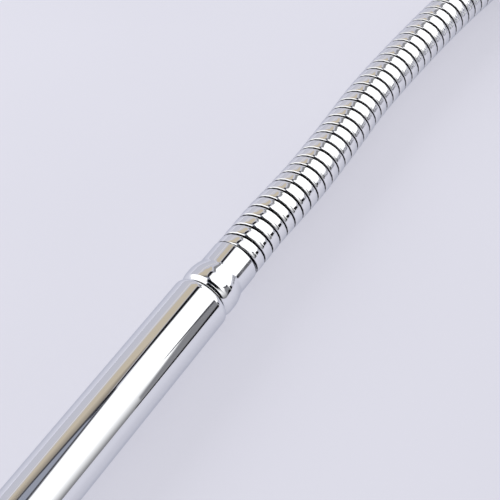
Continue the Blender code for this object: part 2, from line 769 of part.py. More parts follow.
def build_head_face():
    skirt_r = thread_r + FIT
    lip_r = stack_r - TRIM_LIP_COVER
    turned(
        "trim_ring",
        [
            (FIT, skirt_r),
            (FIT, head_r),
            *rim_edge,
            (trim_top, lip_r),
            (lip_bottom, lip_r),
            (lip_bottom, skirt_r),
        ],
        CHROME,
        HEAD,
        FINE_SIDES,
    )
    places = nozzle_places()
    flow = tube("flow_plate", flow_bottom, flow_top, stack_r, screw_hole_r, WHITE_PLASTIC, HEAD, ROUND_SIDES)
    drill(flow, ring_places(FLOW_HOLES, FLOW_HOLE_CIRCLE), flow_bottom, flow_top, FLOW_HOLE / 2, HEAD)
    mat = tube("nozzle_mat", mat_bottom, mat_top, stack_r, screw_hole_r, SILICONE, HEAD, ROUND_SIDES)
    radii = (NOZZLE_OD / 2, NOZZLE_TIP_OD / 2)
    combine(mat, pegs("nozzle_tips", places, (mat_bottom + FIT, nozzle_top), radii, HEAD), "UNION")
    drill(mat, places, mat_bottom, nozzle_top, NOZZLE_ORIFICE / 2, HEAD, JET_SIDES)
    ends = (plate_bottom, plate_top)
    plate = tube("face_plate", *ends, stack_r, screw_hole_r, WHITE_PLASTIC, HEAD, FINE_SIDES)
    drill(plate, places, plate_bottom, plate_top, NOZZLE_OD / 2 + FIT, HEAD)
    head_bottom = plate_top + FIT
    crown = arc((head_bottom, 0.0), (SCREW_HEAD_HEIGHT, SCREW_HEAD_OD / 2), 90.0, 0.0, 4)
    crown[-1] = (head_bottom + SCREW_HEAD_HEIGHT, 0.0)
    foot = ledge_level - SCREW_GRIP
    outline = [(foot, 0.0), (foot, screw_r), (head_bottom, screw_r), *crown]
    turned("face_screw", outline, STEEL, HEAD, PLAIN_SIDES)


def eased(share):
    """Runs from 0 to 1 with level ends."""
    share = min(max(share, 0.0), 1.0)
    return share * share * (3 - 2 * share)


def hose_knots():
    """The points that the hose's centre line passes, and the number of those before the coil."""
    knots = []
    for along, sideways in FREE_ROUTE:
        distance = along * MM
        down = eased((distance - ROUTE_DROP[0]) / (ROUTE_DROP[1] - ROUTE_DROP[0]))
        height = axis_z + (hose_z - axis_z) * down
        knots.append(Vector((hose_start + distance, sideways * MM, height)))
    ahead = (knots[-1] - knots[-2]).normalized()
    centre = knots[-1] + COIL_RADIUS * Vector((ahead.y, -ahead.x, 0.0))
    first_angle = math.atan2(ahead.x, -ahead.y)
    top_z = hose_z + COIL_LAYER
    for step in range(1, 2 * COIL_POINTS_PER_TURN + 1):
        turn = step / COIL_POINTS_PER_TURN
        radius = COIL_RADIUS - COIL_SPIRAL * min(turn, 2 - turn)
        height = hose_z + COIL_LAYER * eased((turn - COIL_CLIMB_START) / COIL_CLIMB_TURNS)
        knots.append(coil_point(centre, first_angle - 2 * math.pi * turn, radius, height))
    for degrees, outwards, down in TAIL_ROUTE:
        height = top_z + (tail_z - top_z) * down
        angle = first_angle - math.radians(degrees)
        knots.append(coil_point(centre, angle, COIL_RADIUS + outwards * MM, height))
    for _ in range(2):
        knots.append(knots[-1] + TAIL_AHEAD * TAIL_STRAIGHT / 2)
    return knots, len(FREE_ROUTE) - 2


def coil_point(centre, angle, radius, height):
    return Vector((centre.x + radius * math.cos(angle), centre.y + radius * math.sin(angle), height))


class Route:
    """A smooth line through knots, read by the distance along it."""

    def __init__(self, knots, samples=12):
        points = np.array([tuple(knot) for knot in knots])
        chord = np.linalg.norm(np.diff(points, axis=0), axis=1)
        place = np.concatenate([[0.0], np.cumsum(chord)])
        slope = np.gradient(points, place, axis=0)
        line = []
        for step in range(len(points) - 1):
            share = np.linspace(0.0, 1.0, samples, endpoint=False)[:, None]
            gap = chord[step]
            line.append(
                (2 * share**3 - 3 * share**2 + 1) * points[step]
                + (share**3 - 2 * share**2 + share) * gap * slope[step]
                + (3 * share**2 - 2 * share**3) * points[step + 1]
                + (share**3 - share**2) * gap * slope[step + 1]
            )
        self.line = np.vstack([*line, points[-1:]])
        steps = np.linalg.norm(np.diff(self.line, axis=0), axis=1)
        self.place = np.concatenate([[0.0], np.cumsum(steps)])
        self.knot_place = self.place[::samples]
        self.length = self.place[-1]

    def at(self, distance):
        """The point at a distance. Past either end the line runs straight on."""
        inside = min(max(distance, 0.0), self.length)
        point = Vector([np.interp(inside, self.place, self.line[:, axis]) for axis in range(3)])
        ends = (self.line[0], self.line[1]) if distance < 0 else (self.line[-2], self.line[-1])
        ahead = Vector(ends[1] - ends[0]).normalized()
        return point + ahead * (distance - inside)

    def least_gap(self, diameter):
        """The least room between the tube's surface and itself, away from its own neighbourhood."""
        spots = np.arange(0.0, self.length, diameter / 4)
        line = np.array([self.at(spot) for spot in spots])
        apart = np.linalg.norm(line[:, None] - line[None], axis=2)
        near = np.abs(spots[:, None] - spots[None]) < 4 * diameter
        return apart[~near].min() - diameter


def band_stations(start, end, pitch):
    """Ribs as flat bands, each (distance, radius), with a narrow groove between one band and the next."""
    count = round((end - start) / pitch)
    pitch = (end - start) / count
    stations = [(start, hose_r)]
    for rib in range(1, count):
        edge = start + rib * pitch
        stations.append((edge - RIB_GROOVE_WIDTH / 2, hose_r))
        stations.append((edge, hose_r - RIB_DEPTH))
        stations.append((edge + RIB_GROOVE_WIDTH / 2, hose_r))
    return [*stations, (end, hose_r)]


def lapped_stations(start, end, pitch):
    """Ribs as lapped bands: each rises from its groove in a short step, then falls to the next groove."""
    count = round((end - start) / pitch)
    pitch = (end - start) / count
    stations = [(start, hose_r)]
    for rib in range(1, count):
        edge = start + rib * pitch
        stations.append((edge, hose_r - RIB_DEPTH))
        stations.append((edge + RIB_GROOVE_WIDTH, hose_r))
    return [*stations, (end, hose_r)]


def even_stations(start, end, spacing):
    count = math.ceil((end - start) / spacing)
    return [start + (end - start) * step / count for step in range(count + 1)]


def bored_tube(name, route, stations, bore_r, sides, spacing, material):
    """A tube along the route from (distance, radius) stations, with a bore right through it."""
    points = [route.at(distance) for distance, _ in stations]
    body = swept(name, points, [radius for _, radius in stations], sides, material)
    inside = even_stations(stations[0][0] - FIT, stations[-1][0] + FIT, spacing)
    points = [route.at(distance) for distance in inside]
    bore = swept(name + "_bore", points, [bore_r] * len(points), sides, material, True)
    combine(body, bore, "DIFFERENCE")


def build_hose():
    knots, join = hose_knots()
    route = Route(knots)
    junction = route.knot_place[join]
    spacing = 2 * math.pi * COIL_RADIUS / COIL_POINTS_PER_TURN
    ribs = band_stations(0.0, junction - FIT / 2, RIB_PITCH)
    bored_tube("hose_free", route, ribs, hose_bore_r, HOSE_SIDES, spacing, HOSE_STEEL)
    ribs = lapped_stations(junction + FIT / 2, route.length, COIL_RIB_PITCH)
    bored_tube("hose_coil", route, ribs, coil_bore_r, COIL_SIDES, spacing, HOSE_STEEL)
    inner_end = route.length + tap_stem_head - FIT
    spots = even_stations(inner_start - hose_start, inner_end, spacing)
    stations = [(spot, inner_r) for spot in spots]
    bored_tube("inner_tube", route, stations, INNER_TUBE_BORE / 2, COIL_SIDES, spacing, BLACK_RUBBER)
    print("hose length, mm:", round(route.length / MM))
    print("hose least gap to itself, mm:", round(route.least_gap(HOSE_OD) / MM, 2))
    barbed_stem("hose_stem", socket_floor + FIT, stem_head_end, stem_end, inner_r, ALONG)
    return route


def tap_place(route):
    """The hose's far end, with local Z along the way the hose leaves."""
    heading = math.atan2(TAIL_AHEAD.y, TAIL_AHEAD.x)
    turn = Matrix.Rotation(heading, 4, "Z") @ Matrix.Rotation(math.pi / 2, 4, "Y")
    return Matrix.Translation(route.at(route.length)) @ turn


def build_tap_end(route):
    tap = tap_place(route)
    sleeve_bore_r = hose_r + FIT
    sleeve_r = sleeve_bore_r + TAP_SLEEVE_WALL
    turned(
        "tap_ferrule",
        [
            (-TAP_SLEEVE_LENGTH, sleeve_bore_r),
            (-TAP_SLEEVE_LENGTH, sleeve_r),
            (tap_neck_start, sleeve_r),
            (tap_neck_start, tap_neck_r),
            (tap_neck_end, tap_neck_r),
            (tap_neck_end, nut_bore_r - FIT),
            (tap_flange_end, nut_bore_r - FIT),
            (tap_flange_end, socket_r),
            (FIT, socket_r),
            (FIT, sleeve_bore_r),
        ],
        CHROME,
        tap,
        PLAIN_SIDES,
    )
    barbed_stem("tap_stem", tap_flange_end, tap_stem_head, tap_stem_head - STEM_GRIP, inner_r, tap)
    corner_r = NUT_ACROSS_FLATS / math.sqrt(3)
    nut = turned(
        "tap_nut",
        [
            (nut_start, tap_neck_r + FIT),
            (nut_start, NUT_CONE_END_OD / 2),
            (nut_seat, corner_r),
            (nut_end - NUT_CHAMFER, corner_r),
            (nut_end, corner_r - 2 * NUT_CHAMFER),
            (nut_end, nut_bore_r),
            (nut_seat, nut_bore_r),
            (nut_seat, tap_neck_r + FIT),
        ],
        CHROME,
        tap,
        FINE_SIDES,
    )
    hexagon = tap @ Matrix.Rotation(math.radians(30.0), 4, "Z")
    flats = rod("nut_flats", nut_start - FIT, nut_end + FIT, corner_r, CHROME, hexagon, 6, True)
    combine(nut, flats, "INTERSECT")
    tube("tap_washer", washer_start, washer_end, nut_bore_r - FIT, WASHER_BORE / 2, BLACK_RUBBER, tap)
    screen_middle = (washer_start + washer_end) / 2
    low = screen_middle - SCREEN_THICKNESS / 2
    high = screen_middle + SCREEN_THICKNESS / 2
    screen = rod("filter_screen", low, high, WASHER_BORE / 2 - FIT, STEEL, tap)
    places = [(0.0, 0.0), *ring_places(SCREEN_HOLES, SCREEN_HOLE_CIRCLE)]
    drill(screen, places, low, high, SCREEN_HOLE / 2, tap)


def smooth_by_angle():
    """Nodes that shade a mesh smooth, apart from its edges sharper than SMOOTH_BELOW."""
    tree = bpy.data.node_groups.new("smooth_by_angle", "GeometryNodeTree")
    tree.interface.new_socket("Geometry", in_out="INPUT", socket_type="NodeSocketGeometry")
    tree.interface.new_socket("Geometry", in_out="OUTPUT", socket_type="NodeSocketGeometry")
    start = tree.nodes.new("NodeGroupInput")
    end = tree.nodes.new("NodeGroupOutput")
    angle = tree.nodes.new("GeometryNodeInputMeshEdgeAngle")
    limit = tree.nodes.new("FunctionNodeCompare")
    limit.operation = "LESS_THAN"
    limit.inputs["B"].default_value = math.radians(SMOOTH_BELOW)
    faces = tree.nodes.new("GeometryNodeSetShadeSmooth")
    edges = tree.nodes.new("GeometryNodeSetShadeSmooth")
    edges.domain = "EDGE"
    tree.links.new(start.outputs[0], faces.inputs["Geometry"])
    tree.links.new(faces.outputs[0], edges.inputs["Geometry"])
    tree.links.new(angle.outputs["Unsigned Angle"], limit.inputs["A"])
    tree.links.new(limit.outputs[0], edges.inputs["Shade Smooth"])
    tree.links.new(edges.outputs[0], end.inputs[0])
    return tree


def shade_parts():
    shading = smooth_by_angle()
    for item in parts.objects:
        if item.type == "MESH":
            item.modifiers.new("shading", "NODES").node_group = shading


def carry(name, place, pieces):
    """An empty on a joint's axis, which carries the pieces that move on it."""
    empty = bpy.data.objects.new(name, None)
    empty.parent = base
    empty.matrix_basis = place
    parts.objects.link(empty)
    for piece in pieces:
        item = parts.objects[piece]
        item.matrix_basis = place.inverted() @ item.matrix_basis
        item.parent = empty


build_handle()
build_swivel()
build_valve()
build_head_shell()
build_head_face()
hose = build_hose()
build_tap_end(hose)
carry("handle_swivel", ALONG, HANDLE_PIECES)
carry("button_slide", UPRIGHT, BUTTON_PIECES)
carry("nut_swivel", tap_place(hose), NUT_PIECES)
shade_parts()
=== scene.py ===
# %% [markdown]
# # Dressing a handheld bath sprayer
# The solids of the sprayer are already built at their real size. This lesson loads them as a fixed
# frame, then gives every piece its finished surface: polished chrome, strip-wound hose, rubber, brass.
# Nothing is moved or resized, so each new piece takes its place and size from the solid it stands for.

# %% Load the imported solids
import math

import bmesh
import bpy
import numpy as np
from mathutils import Matrix, Vector


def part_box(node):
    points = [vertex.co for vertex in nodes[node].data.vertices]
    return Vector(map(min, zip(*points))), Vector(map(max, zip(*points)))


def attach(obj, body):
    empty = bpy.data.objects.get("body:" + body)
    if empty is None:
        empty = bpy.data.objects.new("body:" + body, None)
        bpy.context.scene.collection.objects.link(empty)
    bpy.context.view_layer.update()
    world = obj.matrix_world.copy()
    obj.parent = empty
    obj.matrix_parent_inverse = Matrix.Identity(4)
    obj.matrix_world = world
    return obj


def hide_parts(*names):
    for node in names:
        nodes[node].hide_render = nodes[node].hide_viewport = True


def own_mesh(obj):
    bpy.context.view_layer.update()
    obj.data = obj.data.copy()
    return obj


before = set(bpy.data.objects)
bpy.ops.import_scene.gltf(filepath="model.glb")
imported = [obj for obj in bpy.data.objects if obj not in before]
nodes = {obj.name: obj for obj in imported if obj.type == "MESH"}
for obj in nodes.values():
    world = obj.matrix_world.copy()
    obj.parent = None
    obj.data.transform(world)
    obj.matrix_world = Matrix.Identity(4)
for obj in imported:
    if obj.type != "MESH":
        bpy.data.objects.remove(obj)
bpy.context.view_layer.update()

MM = 0.001
print("solids loaded:", len(nodes))

# %% [markdown]
# ## Measures from the frame
# A lathe worker reads a few diameters off the old part before turning a new one. The boxes of the tube,
# the ferrule and the hose give the handle's axis, its radius and the places where one piece ends and the
# next begins. Reading them from the frame is safer than typing them a second time.

# %% Read the handle's main measures
tube_low, tube_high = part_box("handle_tube")
ferrule_low, ferrule_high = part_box("swivel_ferrule")
hose_low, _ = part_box("hose_free")
axis_z = (tube_low.z + tube_high.z) / 2
tube_r = (tube_high.z - tube_low.z) / 2
bead_r = (ferrule_high.z - ferrule_low.z) / 2
tail_x = tube_high.x
hose_x = hose_low.x
FIT = 0.3 * MM
print("tube radius, mm:", round(tube_r / MM, 2), "hose starts at x, mm:", round(hose_x / MM, 1))

# %% [markdown]
# ## Camera
# The picture looks down on the sprayer's tail from a little above half right angle. A long lens keeps
# the tube nearly parallel. The place is given from the tube's tail edge, because that is the one point
# of the handle that is sharp to see.

# %% Place the camera
VIEW_AZIMUTH = -56.8
VIEW_ELEVATION = 52.6
LENS = 81.4
CAMERA_FROM_TAIL = Vector((-159.8 * MM, -122.3 * MM, 288.0 * MM))

lens = bpy.data.cameras.new("camera")
lens.lens = LENS
lens.sensor_width = 36.0
lens.clip_start = 0.01
camera = bpy.data.objects.new("camera", lens)
camera.location = Vector((tail_x, 0.0, axis_z)) + CAMERA_FROM_TAIL
camera.rotation_euler = (math.radians(90.0 - VIEW_ELEVATION), 0.0, math.radians(VIEW_AZIMUTH))
bpy.context.scene.collection.objects.link(camera)
bpy.context.scene.camera = camera
bpy.context.scene.view_settings.view_transform = "Standard"
print("camera at", [round(x, 3) for x in camera.location])

# %% [markdown]
# ## Finishes
# Each finish is a small node material. The shader's own sockets hold what is the same all over, and a
# noise on Object coordinates only moves what really varies: how much a polished face has been wiped, or
# how fine the drawing lines are. An image texture could do the same, but would blur close up.

# %% Helpers for node materials
def new_finish(name, colour, metallic, roughness):
    """A material with its shader's sockets set. Returns the material, its nodes and the shader."""
    finish = bpy.data.materials.new(name)
    finish.use_nodes = True
    tree = finish.node_tree
    shader = tree.nodes["Principled BSDF"]
    shader.inputs["Base Color"].default_value = (*colour, 1.0)
    shader.inputs["Metallic"].default_value = metallic
    shader.inputs["Roughness"].default_value = roughness
    return finish, tree, shader


def noise_on(tree, scale, detail, stretch=(1.0, 1.0, 1.0), source="Object"):
    """A noise on the piece's own coordinates, stretched along an axis by a small factor there."""
    place = tree.nodes.new("ShaderNodeTexCoord")
    mapping = tree.nodes.new("ShaderNodeMapping")
    mapping.inputs["Scale"].default_value = stretch
    noise = tree.nodes.new("ShaderNodeTexNoise")
    noise.inputs["Scale"].default_value = scale
    noise.inputs["Detail"].default_value = detail
    tree.links.new(place.outputs[source], mapping.inputs["Vector"])
    tree.links.new(mapping.outputs["Vector"], noise.inputs["Vector"])
    return noise


def vary(tree, noise, socket, low, high, spread=(0.35, 0.65)):
    """Lets the noise move a socket between two values."""
    limits = tree.nodes.new("ShaderNodeMapRange")
    limits.inputs["From Min"].default_value = spread[0]
    limits.inputs["From Max"].default_value = spread[1]
    limits.inputs["To Min"].default_value = low
    limits.inputs["To Max"].default_value = high
    tree.links.new(noise.outputs["Fac"], limits.inputs["Value"])
    tree.links.new(limits.outputs["Result"], socket)


def tint(tree, noise, socket, dark, light, spread=(0.35, 0.65)):
    """Lets the noise move a colour socket between two colours."""
    ramp = tree.nodes.new("ShaderNodeValToRGB")
    ramp.color_ramp.elements[0].position = spread[0]
    ramp.color_ramp.elements[0].color = (*dark, 1.0)
    ramp.color_ramp.elements[1].position = spread[1]
    ramp.color_ramp.elements[1].color = (*light, 1.0)
    tree.links.new(noise.outputs["Fac"], ramp.inputs["Fac"])
    tree.links.new(ramp.outputs["Color"], socket)


def relief(tree, noise, shader, depth, strength):
    """Lets the noise raise and lower the surface's shading by a small depth in metres."""
    bump = tree.nodes.new("ShaderNodeBump")
    bump.inputs["Strength"].default_value = strength
    bump.inputs["Distance"].default_value = depth
    tree.links.new(noise.outputs["Fac"], bump.inputs["Height"])
    tree.links.new(bump.outputs["Normal"], shader.inputs["Normal"])


# %% [markdown]
# ### Polished chrome
# Chrome plate is a mirror. What makes it look real is what it reflects, and the faint film that
# wiping leaves: broad, soft patches that are a touch less sharp than the rest. Chromium reflects less
# near grazing light before it turns fully bright, and that draws a thin dim line along every outline.
# On a metal the tint socket sets that dip.

# %% Chrome plate
GRAZING_TINT = (0.70, 0.72, 0.76, 1.0)


def chrome_plate():
    finish, tree, shader = new_finish("chrome_plate_polished", (0.86, 0.87, 0.89), 1.0, 0.04)
    shader.inputs["Specular Tint"].default_value = GRAZING_TINT
    film = noise_on(tree, 90.0, 3.0)
    vary(tree, film, shader.inputs["Roughness"], 0.025, 0.06)
    return finish


CHROME = chrome_plate()

# %% [markdown]
# ### Wound steel strip
# The hose's strip is drawn bright before it is wound, so it carries hair-fine lines along its length.
# They follow the strip round the hose, so this finish reads the piece's own map: U runs along the strip
# and V across it, one unit for each turn. Down in the groove, where the folded edges hook into each other,
# the base colour turns near black: partly the dull, unpolished metal there, partly painted shade of the deep
# groove.

# %% Hose strip
STRIP_PITCH = 4.55 * MM
GROOVE_WIDTH = 0.55 * MM


def hose_strip():
    finish, tree, shader = new_finish("hose_strip_bright", (0.90, 0.905, 0.915), 1.0, 0.05)
    shader.inputs["Specular Tint"].default_value = GRAZING_TINT
    lines = noise_on(tree, 40.0, 2.0, (0.02, 1.0, 1.0), "UV")
    vary(tree, lines, shader.inputs["Roughness"], 0.03, 0.08)
    relief(tree, lines, shader, 0.004 * MM, 0.15)
    # Near black at both edges of each groove: dull metal there, and painted shade of the deep groove.
    place = tree.nodes.new("ShaderNodeTexCoord")
    split = tree.nodes.new("ShaderNodeSeparateXYZ")
    across = tree.nodes.new("ShaderNodeMath")
    across.operation = "FRACT"
    ramp = tree.nodes.new("ShaderNodeValToRGB")
    groove = 1.0 - GROOVE_WIDTH / STRIP_PITCH
    stops = ramp.color_ramp.elements
    stops[0].position = 0.006
    stops[0].color = (0.03, 0.03, 0.035, 1.0)
    stops[1].position = 0.03
    stops[1].color = (0.90, 0.905, 0.915, 1.0)
    for position, colour in ((groove - 0.02, (0.90, 0.905, 0.915)), (groove - 0.004, (0.03, 0.03, 0.035))):
        stops.new(position).color = (*colour, 1.0)
    tree.links.new(place.outputs["UV"], split.inputs["Vector"])
    tree.links.new(split.outputs["Y"], across.inputs[0])
    tree.links.new(across.outputs["Value"], ramp.inputs["Fac"])
    tree.links.new(ramp.outputs["Color"], shader.inputs["Base Color"])
    return finish


STRIP = hose_strip()

# %% [markdown]
# ## Helpers for pieces
# Almost everything on a sprayer is turned, so one helper spins an outline of (along, radius) points. A
# Screw modifier could do it, but a spun bmesh can be cut, bent and joined further. Where a long straight
# face meets a small round, an extra ring close to the corner keeps the mirror image straight on the
# long face.

# %% Turning and finishing helpers
def bow(centre, radii, start, end, count):
    """Points (along, radius) on an elliptical arc. Angles run from +along towards +radius."""
    turns = [math.radians(start + (end - start) * step / count) for step in range(count + 1)]
    return [(centre[0] + radii[0] * math.cos(t), centre[1] + radii[1] * math.sin(t)) for t in turns]


def lathe(outline, steps, place=Matrix(), closed=True):
    """Spins an outline round the place's local X axis and returns the bmesh."""
    shape = bmesh.new()
    verts = [shape.verts.new((along, 0.0, radius)) for along, radius in outline]
    pairs = list(zip(verts, verts[1:]))
    if closed:
        pairs.append((verts[-1], verts[0]))
    edges = [shape.edges.new(pair) for pair in pairs]
    bmesh.ops.spin(
        shape, geom=verts + edges, cent=(0.0, 0.0, 0.0), axis=(1.0, 0.0, 0.0), dvec=(0.0, 0.0, 0.0),
        angle=2 * math.pi, steps=steps, use_merge=True, use_normal_flip=False, use_duplicate=False,
    )
    bmesh.ops.transform(shape, matrix=place, verts=shape.verts)
    return shape


def add_piece(name, shape, finish, body, stands_for, sharp=40.0):
    """Makes a bmesh a piece that rides on a body and hides the solids it stands for."""
    bmesh.ops.remove_doubles(shape, verts=shape.verts, dist=0.000001)
    bmesh.ops.recalc_face_normals(shape, faces=shape.faces)
    mesh = bpy.data.meshes.new(name)
    shape.to_mesh(mesh)
    shape.free()
    mesh.materials.append(finish)
    mesh.shade_smooth()
    mesh.set_sharp_from_angle(angle=math.radians(sharp))
    piece = bpy.data.objects.new(name, mesh)
    bpy.context.scene.collection.objects.link(piece)
    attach(piece, body)
    if stands_for:
        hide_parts(*stands_for)
    print(name, "triangles:", sum(len(face.vertices) - 2 for face in mesh.polygons))
    return piece


HANDLE_AXIS = Matrix.Translation((0.0, 0.0, axis_z))
FINE_STEPS = 160

# %% [markdown]
# ## The handle's tube
# A drawn tube, plated and polished, whose tail edge is rolled in over the ferrule's bead. The roll is a
# quarter ellipse, and a ring just before it holds the long mirror face straight.

# %% Spin the tube
TUBE_WALL = 1.2 * MM
ROLL_LENGTH = 2.0 * MM
ROLL_DROP = 0.85 * MM
HOLD = 0.15 * MM


def tube_outline():
    roll = bow((tail_x - ROLL_LENGTH, tube_r - ROLL_DROP), (ROLL_LENGTH, ROLL_DROP), 90.0, 0.0, 14)
    bore = tube_r - TUBE_WALL
    return [
        (tube_low.x, bore),
        (tube_low.x, tube_r - HOLD),
        (tube_low.x + HOLD, tube_r),
        (tube_low.x + 2 * HOLD, tube_r),
        (tail_x - ROLL_LENGTH - HOLD, tube_r),
        *roll,
        (tail_x - HOLD, tube_r - ROLL_DROP - HOLD),
        (tail_x - 2 * HOLD, bore),
    ]


tube = lathe(tube_outline(), FINE_STEPS, HANDLE_AXIS)
add_piece("polished_tube", tube, CHROME, "handle", ["handle_tube"])

# %% [markdown]
# ## The beaded ferrule
# The turned collar that carries the hose. From the tube outwards it rises quickly into a round bead,
# falls in a soft S to a straight collar, and stops at the hose with a fine shadow line. Its journal,
# inside the handle, is a plain spindle.

# %% Spin the ferrule
BEAD_START = FIT
BEAD_RISE = 4.6 * MM
BEAD_LENGTH = 10.2 * MM
SHOULDER_DROP = 1.5 * MM
RISE_POWER = 4
FALL_POWER = 2.0
CREASE_LEAD = 1.3
CREASE_ROUND = 0.14 * MM
BEAD_CUTS = 32
COLLAR_R = 8.1 * MM
COLLAR_ROUND = 0.35 * MM
JOURNAL_R = 5.2 * MM
JOURNAL_BORE_R = 3.4 * MM
SPIGOT_R = 5.6 * MM
SOCKET_DEPTH = 14.0 * MM
SOCKET_R = 5.2 * MM
SEAL_GROOVE_R = 4.1 * MM
CLIP_GROOVE_R = 4.4 * MM
SEAL_GAP = 0.2 * MM


def ring_groove(node, bottom_r, land_r):
    """A groove in an outline for the ring that sits there, from low to high."""
    low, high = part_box(node)
    return [
        (low.x - SEAL_GAP, land_r),
        (low.x - SEAL_GAP, bottom_r),
        (high.x + SEAL_GAP, bottom_r),
        (high.x + SEAL_GAP, land_r),
    ]


def ferrule_outline():
    start = tail_x + BEAD_START
    collar_end = hose_x - FIT
    bead = []
    for step in range(BEAD_CUTS):
        share = (step / BEAD_CUTS) ** 1.5
        bead.append((start + BEAD_RISE * share, bead_r - SHOULDER_DROP * (1 - share) ** RISE_POWER))
    for step in range(BEAD_CUTS + 1):
        share = step / BEAD_CUTS
        along = BEAD_RISE + (BEAD_LENGTH - BEAD_RISE) * share
        height = (bead_r - COLLAR_R) * (1 - CREASE_LEAD * share**FALL_POWER)
        bead.append((start + along, COLLAR_R + (height + math.hypot(height, CREASE_ROUND)) / 2))
    edge_centre = (collar_end - COLLAR_ROUND, COLLAR_R - COLLAR_ROUND)
    edge = bow(edge_centre, (COLLAR_ROUND, COLLAR_ROUND), 90.0, 0.0, 5)
    return [
        (ferrule_low.x, JOURNAL_BORE_R),
        (ferrule_low.x, JOURNAL_R),
        *ring_groove("swivel_clip", CLIP_GROOVE_R, JOURNAL_R),
        *ring_groove("swivel_o_ring_inner", SEAL_GROOVE_R, JOURNAL_R),
        *ring_groove("swivel_o_ring_outer", SEAL_GROOVE_R, JOURNAL_R),
        (start, JOURNAL_R),
        *bead,
        (collar_end - COLLAR_ROUND - HOLD, COLLAR_R),
        *edge,
        (collar_end, SPIGOT_R),
        (ferrule_high.x, SPIGOT_R),
        (ferrule_high.x, SOCKET_R),
        (collar_end - SOCKET_DEPTH, SOCKET_R),
        (collar_end - SOCKET_DEPTH, JOURNAL_BORE_R),
    ]


ferrule = lathe(ferrule_outline(), 2 * FINE_STEPS, HANDLE_AXIS)
add_piece("beaded_ferrule", ferrule, CHROME, "hose", ["swivel_ferrule"])

# %% [markdown]
# ## The hose's route
# The hose lies as the solids lie: out of the ferrule straight, down to the floor, along the handle's
# line with a slight wave, and then its unseen length in a flat coil of two layers whose tail comes off
# outwards to the tap end. The points before the coil are listed. The turns are worked out.

# %% Lay out the centre line
FREE_ROUTE = (
    (0.0, 0.0), (8.0, 0.0), (16.0, 0.0), (28.0, -0.5), (42.0, -0.7), (56.0, -0.3), (70.0, 0.2),
    (84.0, 0.8), (98.0, 0.6), (112.0, 0.0), (127.0, -0.9), (142.0, -2.1), (158.0, -3.9),
    (176.0, -6.6), (196.0, -10.2), (216.0, -14.4), (232.0, -17.8), (248.0, -21.2),
)
ROUTE_DROP = (16.0 * MM, 60.0 * MM)
TAIL_ROUTE = (
    (15.0, 3.5, 0.0), (30.0, 9.0, 0.10), (45.0, 15.0, 0.36), (60.0, 20.0, 0.70), (71.0, 22.4, 0.93),
    (80.0, 23.0, 1.0),
)
TAIL_STRAIGHT = 20.0 * MM
TAIL_AHEAD = Vector((0.0, -1.0, 0.0))
HOSE_R = 8.0 * MM
HOSE_Z = 8.1 * MM
COIL_RADIUS = 92.0 * MM
COIL_SPIRAL = 16.5 * MM
COIL_LAYER = 16.8 * MM
COIL_POINTS_PER_TURN = 24
COIL_CLIMB_START = 0.75
COIL_CLIMB_TURNS = 0.5
nut_low, nut_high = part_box("tap_nut")
TAIL_Z = (nut_low.z + nut_high.z) / 2


def eased(share):
    """Runs from 0 to 1 with level ends."""
    share = min(max(share, 0.0), 1.0)
    return share * share * (3 - 2 * share)


def coil_point(centre, angle, radius, height):
    return Vector((centre.x + radius * math.cos(angle), centre.y + radius * math.sin(angle), height))


def hose_knots():
    """The points that the hose's centre line passes."""
    knots = []
    for along, sideways in FREE_ROUTE:
        distance = along * MM
        down = eased((distance - ROUTE_DROP[0]) / (ROUTE_DROP[1] - ROUTE_DROP[0]))
        knots.append(Vector((hose_x + distance, sideways * MM, axis_z + (HOSE_Z - axis_z) * down)))
    ahead = (knots[-1] - knots[-2]).normalized()
    centre = knots[-1] + COIL_RADIUS * Vector((ahead.y, -ahead.x, 0.0))
    first_angle = math.atan2(ahead.x, -ahead.y)
    top_z = HOSE_Z + COIL_LAYER
    for step in range(1, 2 * COIL_POINTS_PER_TURN + 1):
        turn = step / COIL_POINTS_PER_TURN
        radius = COIL_RADIUS - COIL_SPIRAL * min(turn, 2 - turn)
        height = HOSE_Z + COIL_LAYER * eased((turn - COIL_CLIMB_START) / COIL_CLIMB_TURNS)
        knots.append(coil_point(centre, first_angle - 2 * math.pi * turn, radius, height))
    for degrees, outwards, down in TAIL_ROUTE:
        angle = first_angle - math.radians(degrees)
        height = top_z + (TAIL_Z - top_z) * down
        knots.append(coil_point(centre, angle, COIL_RADIUS + outwards * MM, height))
    for _ in range(2):
        knots.append(knots[-1] + TAIL_AHEAD * TAIL_STRAIGHT / 2)
    return knots


class Route:
    """A smooth line through knots, read by the distance along it."""

    def __init__(self, knots, samples=16):
        points = np.array([tuple(knot) for knot in knots])
        chord = np.linalg.norm(np.diff(points, axis=0), axis=1)
        slope = np.gradient(points, np.concatenate([[0.0], np.cumsum(chord)]), axis=0)
        line = []
        share = np.linspace(0.0, 1.0, samples, endpoint=False)[:, None]
        for step, gap in enumerate(chord):
            line.append(
                (2 * share**3 - 3 * share**2 + 1) * points[step]
                + (share**3 - 2 * share**2 + share) * gap * slope[step]
                + (3 * share**2 - 2 * share**3) * points[step + 1]
                + (share**3 - share**2) * gap * slope[step + 1]
            )
        self.line = np.vstack([*line, points[-1:]])
        steps = np.linalg.norm(np.diff(self.line, axis=0), axis=1)
        self.place = np.concatenate([[0.0], np.cumsum(steps)])
        self.ahead = np.gradient(self.line, self.place, axis=0)
        self.length = self.place[-1]

    def read(self, distances, table):
        return np.stack([np.interp(distances, self.place, table[:, axis]) for axis in range(3)], axis=-1)

    def bend(self, points):
        """Carries straight points, along X from 0, onto the line. Up stays up."""
        centre = self.read(points[:, 0], self.line)
        ahead = self.read(points[:, 0], self.ahead)
        ahead /= np.linalg.norm(ahead, axis=1)[:, None]
        left = np.cross((0.0, 0.0, 1.0), ahead)
        left /= np.linalg.norm(left, axis=1)[:, None]
        up = np.cross(ahead, left)
        return centre + left * points[:, 1:2] + up * points[:, 2:3]


route = Route(hose_knots())
print("hose length, mm:", round(route.length / MM))

